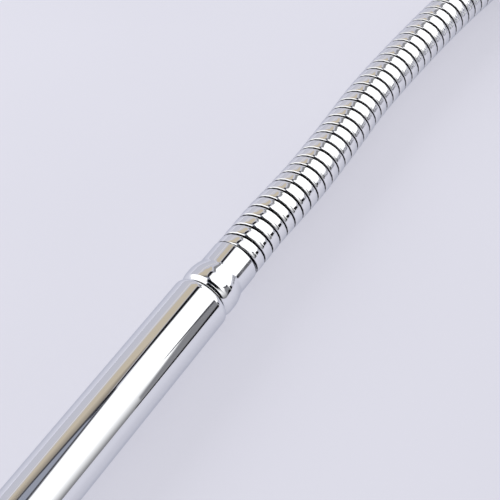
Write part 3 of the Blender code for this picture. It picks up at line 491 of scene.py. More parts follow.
# %% [markdown]
# ## The strip-wound hose
# The hose is one steel strip, folded at both edges and wound in a right-handed helix, so that each turn
# hooks into the next and a narrow groove stays open between them. Rings with a groove would look nearly
# right, but the grooves would not run round. Here one pitch of the strip's section, with the bore under
# it, is spun through one turn with a step along the axis, as the winding machine does it. Doubling that
# turn again and again is much quicker than spinning three hundred turns.

# %% Wind the strip
GROOVE_DEPTH = 0.90 * MM
LIP_ROUND = 0.40 * MM
BAND_CROWN = 0.05 * MM
HOSE_BORE_R = 6.2 * MM
WIND_STEPS = 24


def strip_section():
    """One pitch of the wound strip, from one groove's edge to the next, as (along, radius)."""
    right = STRIP_PITCH - GROOVE_WIDTH
    lip_r = HOSE_R - BAND_CROWN - LIP_ROUND
    flat = right - 2 * LIP_ROUND
    tilt = math.degrees(4 * BAND_CROWN / flat)
    rise = bow((LIP_ROUND, lip_r), (LIP_ROUND, LIP_ROUND), 180.0, 90.0 + tilt, 2)
    fall = bow((right - LIP_ROUND, lip_r), (LIP_ROUND, LIP_ROUND), 90.0 - tilt, 0.0, 2)
    crown = []
    for share in (0.25, 0.5, 0.75):
        crown.append((LIP_ROUND + flat * share, HOSE_R - BAND_CROWN * (2 * share - 1) ** 2))
    floor = HOSE_R - GROOVE_DEPTH
    return [(0.0, floor), *rise, *crown, *fall, (right, floor), (STRIP_PITCH, floor)]


def wind_strip(length):
    """Turns of the strip along X, from before 0 to past the length, round a plain bore."""
    shape = bmesh.new()
    section = []
    for line in (strip_section(), [(0.0, HOSE_BORE_R), (STRIP_PITCH, HOSE_BORE_R)]):
        verts = [shape.verts.new((along - 2 * STRIP_PITCH, 0.0, radius)) for along, radius in line]
        section += verts + [shape.edges.new(pair) for pair in zip(verts, verts[1:])]
    bmesh.ops.spin(
        shape, geom=section, cent=(0.0, 0.0, 0.0), axis=(1.0, 0.0, 0.0),
        dvec=(STRIP_PITCH / WIND_STEPS, 0.0, 0.0), angle=2 * math.pi, steps=WIND_STEPS,
        use_merge=False, use_normal_flip=False, use_duplicate=False,
    )
    turns = 1
    while turns * STRIP_PITCH < length + 4 * STRIP_PITCH:
        everything = shape.verts[:] + shape.edges[:] + shape.faces[:]
        copy = bmesh.ops.duplicate(shape, geom=everything)["geom"]
        moved = [item for item in copy if isinstance(item, bmesh.types.BMVert)]
        bmesh.ops.translate(shape, vec=(turns * STRIP_PITCH, 0.0, 0.0), verts=moved)
        turns *= 2
    bmesh.ops.remove_doubles(shape, verts=shape.verts, dist=0.00001)
    return shape


winding = wind_strip(route.length)
print("wound faces:", len(winding.faces))

# %% [markdown]
# ## Cutting the hose to length
# A hose maker saws the wound tube square, and the fittings cover the cuts. Two bisecting planes do the
# same. Each cut leaves two rims in one plane, the winding's and the bore's, and filling between them closes
# the wall and leaves the bore open.

# %% Cut both ends and map the strip
def cut_square(shape, cut, outward):
    """Cuts the winding at a plane and closes its wall there."""
    everything = shape.verts[:] + shape.edges[:] + shape.faces[:]
    made = bmesh.ops.bisect_plane(
        shape, geom=everything, dist=0.0000001, plane_co=(cut, 0.0, 0.0), plane_no=(outward, 0.0, 0.0),
        clear_outer=True, clear_inner=False,
    )
    rims = [item for item in made["geom_cut"] if isinstance(item, bmesh.types.BMEdge)]
    bmesh.ops.triangle_fill(shape, edges=rims, normal=(outward, 0.0, 0.0), use_beauty=True, use_dissolve=False)


def map_strip(mesh):
    """UV: how far along the strip and how far across it, both counted in pitches."""
    points = np.array([vert.co[:] for vert in mesh.vertices])
    corner = np.array([loop.vertex_index for loop in mesh.loops])
    sides = np.array([face.loop_total for face in mesh.polygons])
    middle = np.array([face.center[:] for face in mesh.polygons])
    face_angle = np.repeat(np.arctan2(-middle[:, 1], middle[:, 2]), sides)
    face_along = np.repeat(middle[:, 0], sides)
    angle = np.arctan2(-points[corner, 1], points[corner, 2])
    angle = face_angle + (angle - face_angle + math.pi) % (2 * math.pi) - math.pi
    turn = np.floor(face_along / STRIP_PITCH - face_angle / (2 * math.pi))
    wound = 2 * math.pi * turn + angle
    across = points[corner, 0] / STRIP_PITCH - wound / (2 * math.pi)
    layer = mesh.uv_layers.new(name="strip")
    layer.data.foreach_set("uv", np.stack([wound * HOSE_R / STRIP_PITCH, across], axis=-1).ravel())


cut_square(winding, 0.0, -1.0)
cut_square(winding, route.length, 1.0)
bmesh.ops.recalc_face_normals(winding, faces=winding.faces)
print("open edges left:", sum(edge.is_boundary for edge in winding.edges))
print("metal in the wall, cubic mm:", round(winding.calc_volume(signed=True) / MM**3))
hose_mesh = bpy.data.meshes.new("wound_hose")
winding.to_mesh(hose_mesh)
winding.free()
map_strip(hose_mesh)
print("hose triangles:", sum(face.loop_total - 2 for face in hose_mesh.polygons))

# %% [markdown]
# ## Bending the hose along its route
# Every point of the straight hose keeps its distance along the line and its place in the cross-section.
# A Curve modifier does the same by eye, but here the line is known, so the points are carried over
# directly, and the grooves keep their true pitch.

# %% Bend the hose
straight = np.array([vert.co[:] for vert in hose_mesh.vertices])
hose_mesh.vertices.foreach_set("co", route.bend(straight).ravel())
hose_mesh.update()
hose_mesh.materials.append(STRIP)
hose_mesh.shade_smooth()
hose_mesh.set_sharp_from_angle(angle=math.radians(50.0))
wound_hose = bpy.data.objects.new("wound_hose", hose_mesh)
bpy.context.scene.collection.objects.link(wound_hose)
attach(wound_hose, "hose")
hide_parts("hose_free", "hose_coil")
print("hose runs", round(route.length, 3), "m, diameter", 2 * HOSE_R)

# %% [markdown]
# ## More finishes
# The hidden and the small pieces have their own surfaces: turned brass with fine rings, springs of bright
# wire, moulded rubber with a dusty bloom, satin plastics. Each is the same short recipe, a noise at the
# scale of what the tool or the mould leaves.

# %% Brass, steel, rubber and plastics
def turned_brass():
    finish, tree, shader = new_finish("brass_turned", (0.78, 0.60, 0.28), 1.0, 0.28)
    film = noise_on(tree, 160.0, 4.0)
    vary(tree, film, shader.inputs["Roughness"], 0.22, 0.36)
    tint(tree, film, shader.inputs["Base Color"], (0.70, 0.52, 0.23), (0.82, 0.65, 0.32))
    return finish


def bright_wire():
    finish, tree, shader = new_finish("steel_bright", (0.62, 0.63, 0.64), 1.0, 0.25)
    film = noise_on(tree, 400.0, 3.0)
    vary(tree, film, shader.inputs["Roughness"], 0.18, 0.34)
    return finish


def moulded_rubber():
    finish, tree, shader = new_finish("rubber_black", (0.025, 0.025, 0.026), 0.0, 0.62)
    bloom = noise_on(tree, 220.0, 5.0)
    vary(tree, bloom, shader.inputs["Roughness"], 0.55, 0.75)
    tint(tree, bloom, shader.inputs["Base Color"], (0.018, 0.018, 0.019), (0.04, 0.04, 0.042))
    relief(tree, bloom, shader, 0.02 * MM, 0.3)
    return finish


def soft_silicone():
    finish, tree, shader = new_finish("silicone_grey", (0.36, 0.39, 0.42), 0.0, 0.5)
    bloom = noise_on(tree, 300.0, 4.0)
    vary(tree, bloom, shader.inputs["Roughness"], 0.42, 0.58)
    tint(tree, bloom, shader.inputs["Base Color"], (0.33, 0.36, 0.39), (0.39, 0.42, 0.45))
    shader.inputs["Subsurface Weight"].default_value = 0.05
    shader.inputs["Subsurface Scale"].default_value = 0.002
    return finish


def satin_white():
    finish, tree, shader = new_finish("plastic_white", (0.80, 0.81, 0.82), 0.0, 0.3)
    grain = noise_on(tree, 900.0, 3.0)
    vary(tree, grain, shader.inputs["Roughness"], 0.26, 0.38)
    relief(tree, grain, shader, 0.01 * MM, 0.2)
    return finish


def satin_dark():
    finish, tree, shader = new_finish("plastic_dark", (0.05, 0.05, 0.056), 0.0, 0.42)
    grain = noise_on(tree, 1400.0, 2.0)
    vary(tree, grain, shader.inputs["Roughness"], 0.36, 0.5)
    relief(tree, grain, shader, 0.015 * MM, 0.35)
    return finish


def clear_tube():
    finish, tree, shader = new_finish("plastic_clear", (0.80, 0.84, 0.86), 0.0, 0.2)
    shader.inputs["Transmission Weight"].default_value = 0.6
    haze = noise_on(tree, 60.0, 3.0, (0.1, 1.0, 1.0))
    vary(tree, haze, shader.inputs["Roughness"], 0.15, 0.3)
    return finish


BRASS = turned_brass()
STEEL = bright_wire()
RUBBER = moulded_rubber()
SILICONE = soft_silicone()
WHITE = satin_white()
DARK = satin_dark()
CLEAR = clear_tube()

# %% [markdown]
# ## Pieces that keep their solids
# Inside the handle and the hose sit pieces that nobody sees until the sprayer is taken apart. Their solids
# are right as they are and only take a finish.

# %% Finish the inner solids
KEPT = {
    "tail_bush": BRASS, "water_adapter": BRASS, "hose_stem": BRASS, "tap_stem": BRASS,
    "valve_piston": BRASS, "valve_bonnet": BRASS, "swivel_clip": STEEL, "swivel_o_ring_outer": RUBBER,
    "swivel_o_ring_inner": RUBBER, "rear_o_ring": RUBBER, "neck_o_ring": RUBBER, "piston_o_ring": RUBBER,
    "inner_tube": RUBBER, "water_tube": CLEAR, "flow_plate": WHITE,
}
for name, finish in KEPT.items():
    nodes[name].material_slots[0].material = finish
print("solids kept with a new finish:", len(KEPT))

# %% [markdown]
# ## Adding and cutting shapes
# A casting is one body, and a drill takes metal away. A Boolean modifier does both. The helper below runs
# it on two closed shapes and hands back one bmesh, so that no modifier stays on the piece.

# %% Boolean helpers
def add_shape(target, other):
    """Puts a second bmesh into the first, side by side."""
    mesh = bpy.data.meshes.new("passing")
    other.to_mesh(mesh)
    other.free()
    target.from_mesh(mesh)
    bpy.data.meshes.remove(mesh)
    return target


def carve(first, second, operation):
    """UNION, DIFFERENCE or INTERSECT of two closed shapes."""
    items = []
    for shape in (first, second):
        bmesh.ops.remove_doubles(shape, verts=shape.verts, dist=0.000001)
        bmesh.ops.recalc_face_normals(shape, faces=shape.faces)
        mesh = bpy.data.meshes.new("passing")
        shape.to_mesh(mesh)
        shape.free()
        items.append(bpy.data.objects.new("passing", mesh))
        bpy.context.scene.collection.objects.link(items[-1])
    cut = items[0].modifiers.new("cut", "BOOLEAN")
    cut.operation = operation
    cut.solver = "EXACT"
    cut.object = items[1]
    bpy.context.view_layer.update()
    seen = items[0].evaluated_get(bpy.context.evaluated_depsgraph_get())
    result = bmesh.new()
    result.from_mesh(seen.to_mesh())
    seen.to_mesh_clear()
    for item in items:
        mesh = item.data
        bpy.data.objects.remove(item)
        bpy.data.meshes.remove(mesh)
    return result


def facing(origin, direction):
    """A place whose local X axis points along a direction."""
    turn = Vector(direction).to_track_quat("X", "Z")
    return Matrix.Translation(origin) @ turn.to_matrix().to_4x4()


def pegs(places, ends, radii, place, sides):
    """Round pegs along the place's local X axis, at each (y, z)."""
    shape = bmesh.new()
    middle = (ends[0] + ends[1]) / 2
    for y, z in places:
        peg = place @ Matrix.Translation((middle, y, z)) @ Matrix.Rotation(math.pi / 2, 4, "Y")
        bmesh.ops.create_cone(
            shape, cap_ends=True, cap_tris=False, segments=sides, radius1=radii[0], radius2=radii[1],
            depth=ends[1] - ends[0], matrix=peg,
        )
    return shape


def ring_places(count, circle_r):
    turns = [2 * math.pi * (step + 0.5) / count for step in range(count)]
    return [(circle_r * math.cos(turn), circle_r * math.sin(turn)) for turn in turns]


print("tools for cutting are ready")

# %% [markdown]
# ## Thumb valve
# A short chromed tee joins the tube to the head: a barrel in line with the tube and a round boss on top
# that guides the thumb button. Barrel and boss are turned and united, and then the well and the waterway
# are bored, as on the machined casting.

# %% Turn and bore the valve's body
valve_low, valve_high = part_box("valve_body")
head_low, head_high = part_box("head_shell")
button_low, button_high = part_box("thumb_button")
bonnet_low, bonnet_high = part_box("valve_bonnet")
piston_low, piston_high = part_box("valve_piston")
valve_x = (button_low.x + button_high.x) / 2
valve_start = tube_low.x - FIT
valve_end = head_high.x + FIT
LINER_R = 8.0 * MM
NIPPLE_R = 4.7 * MM
NIPPLE_LENGTH = 11.0 * MM
NECK_SPIGOT_R = 7.0 * MM
REAR_GROOVE_R = 6.9 * MM
NECK_GROOVE_R = 5.9 * MM
BARREL_EDGE = 0.25 * MM
BOSS_R = 9.2 * MM
BOSS_EDGE = 0.8 * MM
BOSS_BORE_R = 7.3 * MM
PISTON_BORE_R = 4.5 * MM
WATERWAY_R = 2.75 * MM
UPRIGHT = facing((valve_x, 0.0, 0.0), (0.0, 0.0, 1.0))


def barrel_outline():
    spigot_end = valve_high.x - NIPPLE_LENGTH
    return [
        (valve_low.x, 0.0),
        (valve_low.x, NECK_SPIGOT_R),
        *ring_groove("neck_o_ring", NECK_GROOVE_R, NECK_SPIGOT_R),
        (valve_end, NECK_SPIGOT_R),
        (valve_end, tube_r - BARREL_EDGE),
        (valve_end + BARREL_EDGE, tube_r),
        (valve_end + 2 * BARREL_EDGE, tube_r),
        (valve_start - 2 * BARREL_EDGE, tube_r),
        (valve_start - BARREL_EDGE, tube_r),
        (valve_start, tube_r - BARREL_EDGE),
        (valve_start, LINER_R),
        *ring_groove("rear_o_ring", REAR_GROOVE_R, LINER_R),
        (spigot_end, LINER_R),
        (spigot_end, NIPPLE_R),
        (valve_high.x, NIPPLE_R),
        (valve_high.x, 0.0),
    ]


def boss_outline():
    top = valve_high.z
    edge = bow((top - BOSS_EDGE, BOSS_R - BOSS_EDGE), (BOSS_EDGE, BOSS_EDGE), 90.0, 0.0, 8)
    return [
        (axis_z, 0.0),
        (axis_z, BOSS_R),
        (top - BOSS_EDGE - HOLD, BOSS_R),
        *edge,
        (top, BOSS_R - BOSS_EDGE - HOLD),
        (top, 0.0),
    ]


def well_outline():
    return [
        (axis_z - WATERWAY_R - FIT, 0.0),
        (axis_z - WATERWAY_R - FIT, PISTON_BORE_R),
        (bonnet_low.z - FIT, PISTON_BORE_R),
        (bonnet_low.z - FIT, BOSS_BORE_R),
        (valve_high.z + FIT, BOSS_BORE_R),
        (valve_high.z + FIT, 0.0),
    ]


barrel = lathe(barrel_outline(), 96, HANDLE_AXIS, closed=False)
boss = lathe(boss_outline(), 96, UPRIGHT, closed=False)
well = lathe(well_outline(), 64, UPRIGHT, closed=False)
body = carve(carve(barrel, boss, "UNION"), well, "DIFFERENCE")
waterway = pegs([(0.0, axis_z)], (valve_low.x - FIT, valve_high.x + FIT), (WATERWAY_R,) * 2, Matrix(), 48)
body = carve(body, waterway, "DIFFERENCE")
add_piece("valve_tee", body, CHROME, "handle", ["valve_body"], 30.0)

# %% [markdown]
# ## Thumb button
# A dark moulded cap, dished for the thumb, with three low rings for grip. It sits over the piston's rod and
# slides in the boss.

# %% Turn the button
BUTTON_R = 7.0 * MM
BUTTON_WALL = 1.4 * MM
BUTTON_CEILING = 3.0 * MM
BUTTON_EDGE = 1.2 * MM
BUTTON_DISH = 0.6 * MM
GRIP_RINGS = (1.6 * MM, 3.0 * MM, 4.4 * MM)
GRIP_WIDTH = 0.6 * MM
GRIP_HEIGHT = 0.18 * MM
ROD_R = 2.3 * MM


def button_outline():
    top = button_high.z
    ceiling = top - BUTTON_CEILING
    crown_r = BUTTON_R - BUTTON_EDGE
    crown = bow((top - BUTTON_EDGE, crown_r), (BUTTON_EDGE, BUTTON_EDGE), 0.0, 90.0, 8)
    dish = []
    for ring in GRIP_RINGS:
        for across, rise in ((-0.5, 0.0), (-0.25, 0.85), (0.0, 1.0), (0.25, 0.85), (0.5, 0.0)):
            radius = ring + across * GRIP_WIDTH
            sunk = BUTTON_DISH * (1 - (radius / crown_r) ** 2)
            dish.append((top - sunk + rise * GRIP_HEIGHT, radius))
    return [
        (piston_high.z + FIT, 0.0),
        (piston_high.z + FIT, ROD_R),
        (ceiling, ROD_R),
        (ceiling, BUTTON_R - BUTTON_WALL),
        (button_low.z, BUTTON_R - BUTTON_WALL),
        (button_low.z, BUTTON_R),
        (top - BUTTON_EDGE - HOLD, BUTTON_R),
        *reversed(crown),
        *reversed(dish),
        (top - BUTTON_DISH, 0.0),
    ]


thumb_cap = lathe(button_outline(), 96, UPRIGHT, closed=False)
add_piece("thumb_cap", thumb_cap, DARK, "button", ["thumb_button"], 50.0)

# %% [markdown]
# ## Return spring
# Bright wire wound in four turns pushes the button back. A round section spun with a step along the axis
# is exactly a spring. When the button goes down the spring gets shorter. The piece gets a mesh of its own.

# %% Wind the spring
spring_low, spring_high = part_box("return_spring")
SPRING_WIRE_R = 0.35 * MM
SPRING_TURNS = 4
SPRING_STEPS = 28
spring_r = (spring_high.y - spring_low.y) / 2 - SPRING_WIRE_R


def wound_spring():
    shape = bmesh.new()
    foot = Matrix.Translation((valve_x + spring_r, 0.0, spring_low.z + SPRING_WIRE_R))
    upright = Matrix.Rotation(math.pi / 2, 4, "X")
    wire = bmesh.ops.create_circle(shape, segments=12, radius=SPRING_WIRE_R, matrix=foot @ upright)
    rim = list({edge for vert in wire["verts"] for edge in vert.link_edges})
    rise = (spring_high.z - spring_low.z - 2 * SPRING_WIRE_R) / (SPRING_TURNS * SPRING_STEPS)
    bmesh.ops.spin(
        shape, geom=wire["verts"] + rim, cent=(valve_x, 0.0, 0.0), axis=(0.0, 0.0, 1.0),
        dvec=(0.0, 0.0, rise), angle=2 * math.pi * SPRING_TURNS, steps=SPRING_TURNS * SPRING_STEPS,
        use_merge=False, use_normal_flip=False, use_duplicate=False,
    )
    bmesh.ops.holes_fill(shape, edges=shape.edges, sides=12)
    return shape


button_spring = add_piece(
    "button_spring", wound_spring(), STEEL, "handle", ["return_spring"], 60.0
)
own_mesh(button_spring)

# %% [markdown]
# ## Spray head
# A shallow chromed dome with a short neck that grows out of the handle's line. The dome is turned about the
# spray axis, the neck is a ring pulled along a gently rising line, and the two are united. The water
# chamber, the neck's socket and bore are cut after that, so the wall is as thick as on the real one.

# %% Find the head's place
HEAD_TILT = math.radians(20.0)
spray_axis = Vector((-math.sin(HEAD_TILT), 0.0, math.cos(HEAD_TILT)))
flow_low, flow_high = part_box("flow_plate")
FLOW_LEVEL = -0.2 * MM
head_centre = (flow_low + flow_high) / 2 - spray_axis * FLOW_LEVEL
HEAD = facing(head_centre, spray_axis)
HEAD_R = (head_high.y - head_low.y) / 2
THREAD_R = HEAD_R - 1.8 * MM
CHAMBER_R = THREAD_R - 1.6 * MM
LEDGE_R = CHAMBER_R - 2.1 * MM
RIM_LEVEL = -3.7 * MM
LEDGE_LEVEL = -1.2 * MM
LIP_LEVEL = 4.2 * MM
DOME_DEPTH = 8.0 * MM
print("head centre, mm:", [round(x / MM, 2) for x in head_centre], "radius, mm:", round(HEAD_R / MM, 1))

# %% Turn the dome and pull the neck
NECK_STATIONS = (
    (23.0 * MM, 1.0 * MM, 9.1 * MM),
    (12.4 * MM, 2.5 * MM, 8.2 * MM),
    (1.6 * MM, 4.5 * MM, 7.0 * MM),
)
NECK_STEPS = 40
HEAD_STEPS = 144
SCREW_HOLE_R = 1.8 * MM


def dome_outline():
    back = bow((RIM_LEVEL, 0.0), (DOME_DEPTH, HEAD_R), 90.0, 180.0, 28)
    back[-1] = (RIM_LEVEL - DOME_DEPTH, 0.0)
    return [
        (LIP_LEVEL - FIT, 0.0),
        (LIP_LEVEL - FIT, THREAD_R),
        (0.0, THREAD_R),
        (0.0, HEAD_R - HOLD),
        (-HOLD, HEAD_R),
        (RIM_LEVEL + HOLD, HEAD_R),
        *back,
    ]


def chamber_outline():
    hollow = bow((LEDGE_LEVEL, 0.0), (DOME_DEPTH, LEDGE_R), 90.0, 170.0, 14)
    boss_r = 4.5 * MM
    return [
        (LIP_LEVEL, 0.0),
        (LIP_LEVEL, CHAMBER_R),
        (LEDGE_LEVEL, CHAMBER_R),
        *hollow,
        (hollow[-1][0], boss_r),
        (LEDGE_LEVEL, boss_r),
        (LEDGE_LEVEL, 0.0),
    ]


def neck_line():
    """The neck's stations from the valve into the dome: x, height and radius, eased between."""
    marks = [(valve_end - FIT, axis_z, tube_r), (valve_low.x - FIT, axis_z, tube_r)]
    marks += [(head_centre.x + away, axis_z + rise, radius) for away, rise, radius in NECK_STATIONS]
    table = np.array(marks)
    return Route([Vector(mark) for mark in marks]), table


def pulled_neck(radius_scale=1.0):
    line, _ = neck_line()
    stations = line.read(np.linspace(0.0, line.length, NECK_STEPS + 1), line.line)
    shape = bmesh.new()
    turn = Matrix.Rotation(math.pi / 2, 4, "Y")
    first = Matrix.Translation((stations[0][0], 0.0, stations[0][1])) @ turn
    made = bmesh.ops.create_circle(shape, segments=96, radius=stations[0][2] * radius_scale, matrix=first)
    rim = list({edge for vert in made["verts"] for edge in vert.link_edges})
    bmesh.ops.contextual_create(shape, geom=rim)
    for (x, z, radius), (next_x, next_z, next_radius) in zip(stations, stations[1:]):
        grown = bmesh.ops.extrude_edge_only(shape, edges=rim)["geom"]
        moved = [item for item in grown if isinstance(item, bmesh.types.BMVert)]
        grow = Matrix.Diagonal((1.0, next_radius / radius, next_radius / radius, 1.0))
        centre = Matrix.Translation((-x, 0.0, -z))
        onward = Matrix.Translation((next_x, 0.0, next_z))
        bmesh.ops.transform(shape, matrix=onward @ grow @ centre, verts=moved)
        rim = [item for item in grown if isinstance(item, bmesh.types.BMEdge) and item.is_boundary]
    bmesh.ops.contextual_create(shape, geom=rim)
    return shape


dome = carve(lathe(dome_outline(), HEAD_STEPS, HEAD, closed=False), pulled_neck(), "UNION")
chamber = lathe(chamber_outline(), HEAD_STEPS, HEAD, closed=False)
dome = carve(dome, chamber, "DIFFERENCE")
print("dome with neck, faces:", len(dome.faces))

# %% Cut the neck's socket, its bore and the screw hole
NECK_BORE_R = 4.0 * MM
SCREW_HOLE_FOOT = -6.5 * MM
socket = pegs([(0.0, axis_z)], (valve_low.x - FIT, valve_end), (NECK_SPIGOT_R + FIT,) * 2, Matrix(), 64)
dome = carve(dome, socket, "DIFFERENCE")
bore_end = head_centre.x + NECK_STATIONS[1][0]
water_way = pegs([(0.0, axis_z + FIT)], (bore_end, valve_low.x), (NECK_BORE_R,) * 2, Matrix(), 48)
dome = carve(dome, water_way, "DIFFERENCE")
screw_hole = pegs([(0.0, 0.0)], (SCREW_HOLE_FOOT, LIP_LEVEL), (SCREW_HOLE_R,) * 2, HEAD, 32)
dome = carve(dome, screw_hole, "DIFFERENCE")
add_piece("head_dome", dome, CHROME, "handle", ["head_shell"], 28.0)

# %% [markdown]
# ## Face of the head
# A chromed ring screws over the dome's thread and holds the stack: flow plate, nozzle mat and face plate.
# The soft nozzles stand through holes in the face plate, so that scale can be rubbed off. A domed screw
# holds the middle.

# %% Turn the trim ring
TRIM_TOP = 5.3 * MM
TRIM_EDGE = 1.4 * MM
TRIM_SLOPE = 4.0 * MM
TRIM_ROLL = 0.4 * MM
TRIM_LIP_R = 26.3 * MM


def trim_outline():
    slope = bow((TRIM_TOP - TRIM_EDGE, HEAD_R - TRIM_SLOPE), (TRIM_EDGE, TRIM_SLOPE), 90.0, 0.0, 16)
    inner = bow((TRIM_TOP - TRIM_ROLL, TRIM_LIP_R + TRIM_ROLL), (TRIM_ROLL, TRIM_ROLL), 0.0, -90.0, 4)
    return [
        (FIT, THREAD_R + FIT),
        (FIT, HEAD_R - HOLD),
        (FIT + HOLD, HEAD_R),
        (TRIM_TOP - TRIM_EDGE - HOLD, HEAD_R),
        *slope,
        *inner,
        (LIP_LEVEL, TRIM_LIP_R),
        (LIP_LEVEL, THREAD_R + FIT),
    ]


face_ring = lathe(trim_outline(), HEAD_STEPS, HEAD)
add_piece("face_ring", face_ring, CHROME, "handle", ["trim_ring"])

# %% Turn and drill the face plate
PLATE_BOTTOM = 2.1 * MM
PLATE_TOP = 3.9 * MM
PLATE_R = 27.3 * MM
PLATE_EDGE = 0.3 * MM
NOZZLE_RINGS = ((5, 8.0 * MM), (9, 14.5 * MM), (14, 21.0 * MM))
NOZZLE_R = 1.3 * MM
RIB_RINGS = (11.2 * MM, 17.8 * MM)
RIB_WIDTH = 0.5 * MM
RIB_DEPTH = 0.25 * MM
nozzle_places = [place for count, circle_r in NOZZLE_RINGS for place in ring_places(count, circle_r)]


def plate_outline():
    grooves = []
    for ring in reversed(RIB_RINGS):
        grooves += [(PLATE_TOP, ring + RIB_WIDTH), (PLATE_TOP - RIB_DEPTH, ring + RIB_WIDTH / 2)]
        grooves += [(PLATE_TOP - RIB_DEPTH, ring - RIB_WIDTH / 2), (PLATE_TOP, ring - RIB_WIDTH)]
    return [
        (PLATE_BOTTOM, SCREW_HOLE_R),
        (PLATE_BOTTOM, PLATE_R),
        (PLATE_TOP - PLATE_EDGE, PLATE_R),
        (PLATE_TOP, PLATE_R - PLATE_EDGE),
        *grooves,
        (PLATE_TOP, SCREW_HOLE_R),
    ]


plate = lathe(plate_outline(), HEAD_STEPS, HEAD)
holes = pegs(nozzle_places, (PLATE_BOTTOM - FIT, PLATE_TOP + FIT), (NOZZLE_R + FIT,) * 2, HEAD, 28)
plate = carve(plate, holes, "DIFFERENCE")
add_piece("spray_plate", plate, WHITE, "handle", ["face_plate"], 30.0)

# %% Mould the nozzle mat
MAT_BOTTOM = 0.8 * MM
MAT_TOP = 1.8 * MM
NOZZLE_TIP_R = 0.9 * MM
NOZZLE_TOP = 5.7 * MM
TIP_ROUND = 0.3 * MM
ORIFICE_R = 0.45 * MM
ORIFICE_DISH = 0.15 * MM


def nozzle_outline():
    tip_centre = (NOZZLE_TOP - TIP_ROUND, NOZZLE_TIP_R - TIP_ROUND)
    tip = bow(tip_centre, (TIP_ROUND, TIP_ROUND), 90.0, 0.0, 3)
    return [
        (MAT_TOP - FIT, 0.0),
        (MAT_TOP - FIT, NOZZLE_R),
        *tip,
        (NOZZLE_TOP - ORIFICE_DISH, ORIFICE_R + ORIFICE_DISH / 3),
        (NOZZLE_TOP - ORIFICE_DISH, 0.0),
    ]


def mat_outline():
    return [(MAT_BOTTOM, SCREW_HOLE_R), (MAT_BOTTOM, PLATE_R), (MAT_TOP, PLATE_R), (MAT_TOP, SCREW_HOLE_R)]


tips = bmesh.new()
for across, up in nozzle_places:
    tip_place = HEAD @ Matrix.Translation((0.0, across, up))
    add_shape(tips, lathe(nozzle_outline(), 20, tip_place, closed=False))
mat = carve(lathe(mat_outline(), 96, HEAD), tips, "UNION")
jets = pegs(nozzle_places, (MAT_BOTTOM - FIT, NOZZLE_TOP + FIT), (ORIFICE_R,) * 2, HEAD, 16)
mat = carve(mat, jets, "DIFFERENCE")
add_piece("nozzle_sheet", mat, SILICONE, "handle", ["nozzle_mat"])
print("nozzles:", len(nozzle_places))

# %% Turn the screw and cut its cross
SCREW_R = 1.5 * MM
SCREW_HEAD_R = 3.5 * MM
SCREW_HEAD_HEIGHT = 1.5 * MM
SCREW_FOOT = -6.2 * MM
CROSS_LENGTH = 3.6 * MM
CROSS_WIDTH = 0.8 * MM
CROSS_DEPTH = 0.9 * MM


def screw_outline():
    bottom = PLATE_TOP + FIT
    crown = bow((bottom, 0.0), (SCREW_HEAD_HEIGHT, SCREW_HEAD_R), 90.0, 0.0, 14)
    crown[-1] = (bottom + SCREW_HEAD_HEIGHT, 0.0)
    return [(SCREW_FOOT, 0.0), (SCREW_FOOT, SCREW_R), (bottom, SCREW_R), *crown]


screw = lathe(screw_outline(), 64, HEAD, closed=False)
level = PLATE_TOP + FIT + SCREW_HEAD_HEIGHT
for size in ((CROSS_LENGTH, CROSS_WIDTH), (CROSS_WIDTH, CROSS_LENGTH)):
    slot = bmesh.new()
    stretch = Matrix.Diagonal((2 * CROSS_DEPTH, size[0], size[1], 1.0))
    bmesh.ops.create_cube(slot, size=1.0, matrix=HEAD @ Matrix.Translation((level, 0.0, 0.0)) @ stretch)
    screw = carve(screw, slot, "DIFFERENCE")
add_piece("centre_screw", screw, STEEL, "handle", ["face_screw"], 30.0)

# %% [markdown]
# ## Tap end
# The hose ends in a pressed sleeve with a flange. A union nut turns freely behind the flange and draws it
# onto the tap with a rubber washer between them, and a gauze keeps grit out. The nut is a turned blank cut
# to a hexagon, which leaves the curved chamfer lines that every nut has.

# %% Turn the sleeve
tap_end = Vector(route.line[-1])
TAP = facing(tap_end, TAIL_AHEAD)
SLEEVE_BORE_R = 8.3 * MM
SLEEVE_R = 9.2 * MM
SLEEVE_LENGTH = 14.0 * MM
SLEEVE_ROLL = 0.5 * MM
TAP_NECK_START = 1.5 * MM
TAP_NECK_END = 13.0 * MM
TAP_NECK_R = 7.0 * MM
FLANGE_END = 15.5 * MM
FLANGE_R = 9.0 * MM
TAP_SOCKET_R = 5.2 * MM


def sleeve_outline():
    mouth = -SLEEVE_LENGTH + SLEEVE_ROLL
    back = TAP_NECK_START - SLEEVE_ROLL
    roll = bow((mouth, SLEEVE_R - SLEEVE_ROLL), (SLEEVE_ROLL, SLEEVE_ROLL), 180.0, 90.0, 5)
    shoulder = bow((back, SLEEVE_R - SLEEVE_ROLL), (SLEEVE_ROLL, SLEEVE_ROLL), 90.0, 0.0, 5)
    return [
        (-SLEEVE_LENGTH, SLEEVE_BORE_R),
        *roll,
        (mouth + HOLD, SLEEVE_R),
        (back - HOLD, SLEEVE_R),
        *shoulder,
        (TAP_NECK_START, TAP_NECK_R),
        (TAP_NECK_END, TAP_NECK_R),
        (TAP_NECK_END, FLANGE_R),
        (FLANGE_END, FLANGE_R),
        (FLANGE_END, TAP_SOCKET_R),
        (FIT, TAP_SOCKET_R),
        (FIT, SLEEVE_BORE_R),
    ]


sleeve = lathe(sleeve_outline(), 96, TAP)
tap_sleeve = add_piece("tap_sleeve", sleeve, CHROME, "hose", ["tap_ferrule"])

# %% Turn the nut and cut its flats
NUT_FLATS = 24.0 * MM
NUT_START = 4.7 * MM
NUT_SEAT = 12.7 * MM
NUT_END = 27.2 * MM
NUT_CONE_R = 9.3 * MM
NUT_CHAMFER = 1.0 * MM
THREAD_CREST_R = 9.35 * MM
THREAD_ROOT_R = 10.3 * MM
THREAD_PITCH = 1.814 * MM
THREAD_START = 18.6 * MM
THREADS = 4


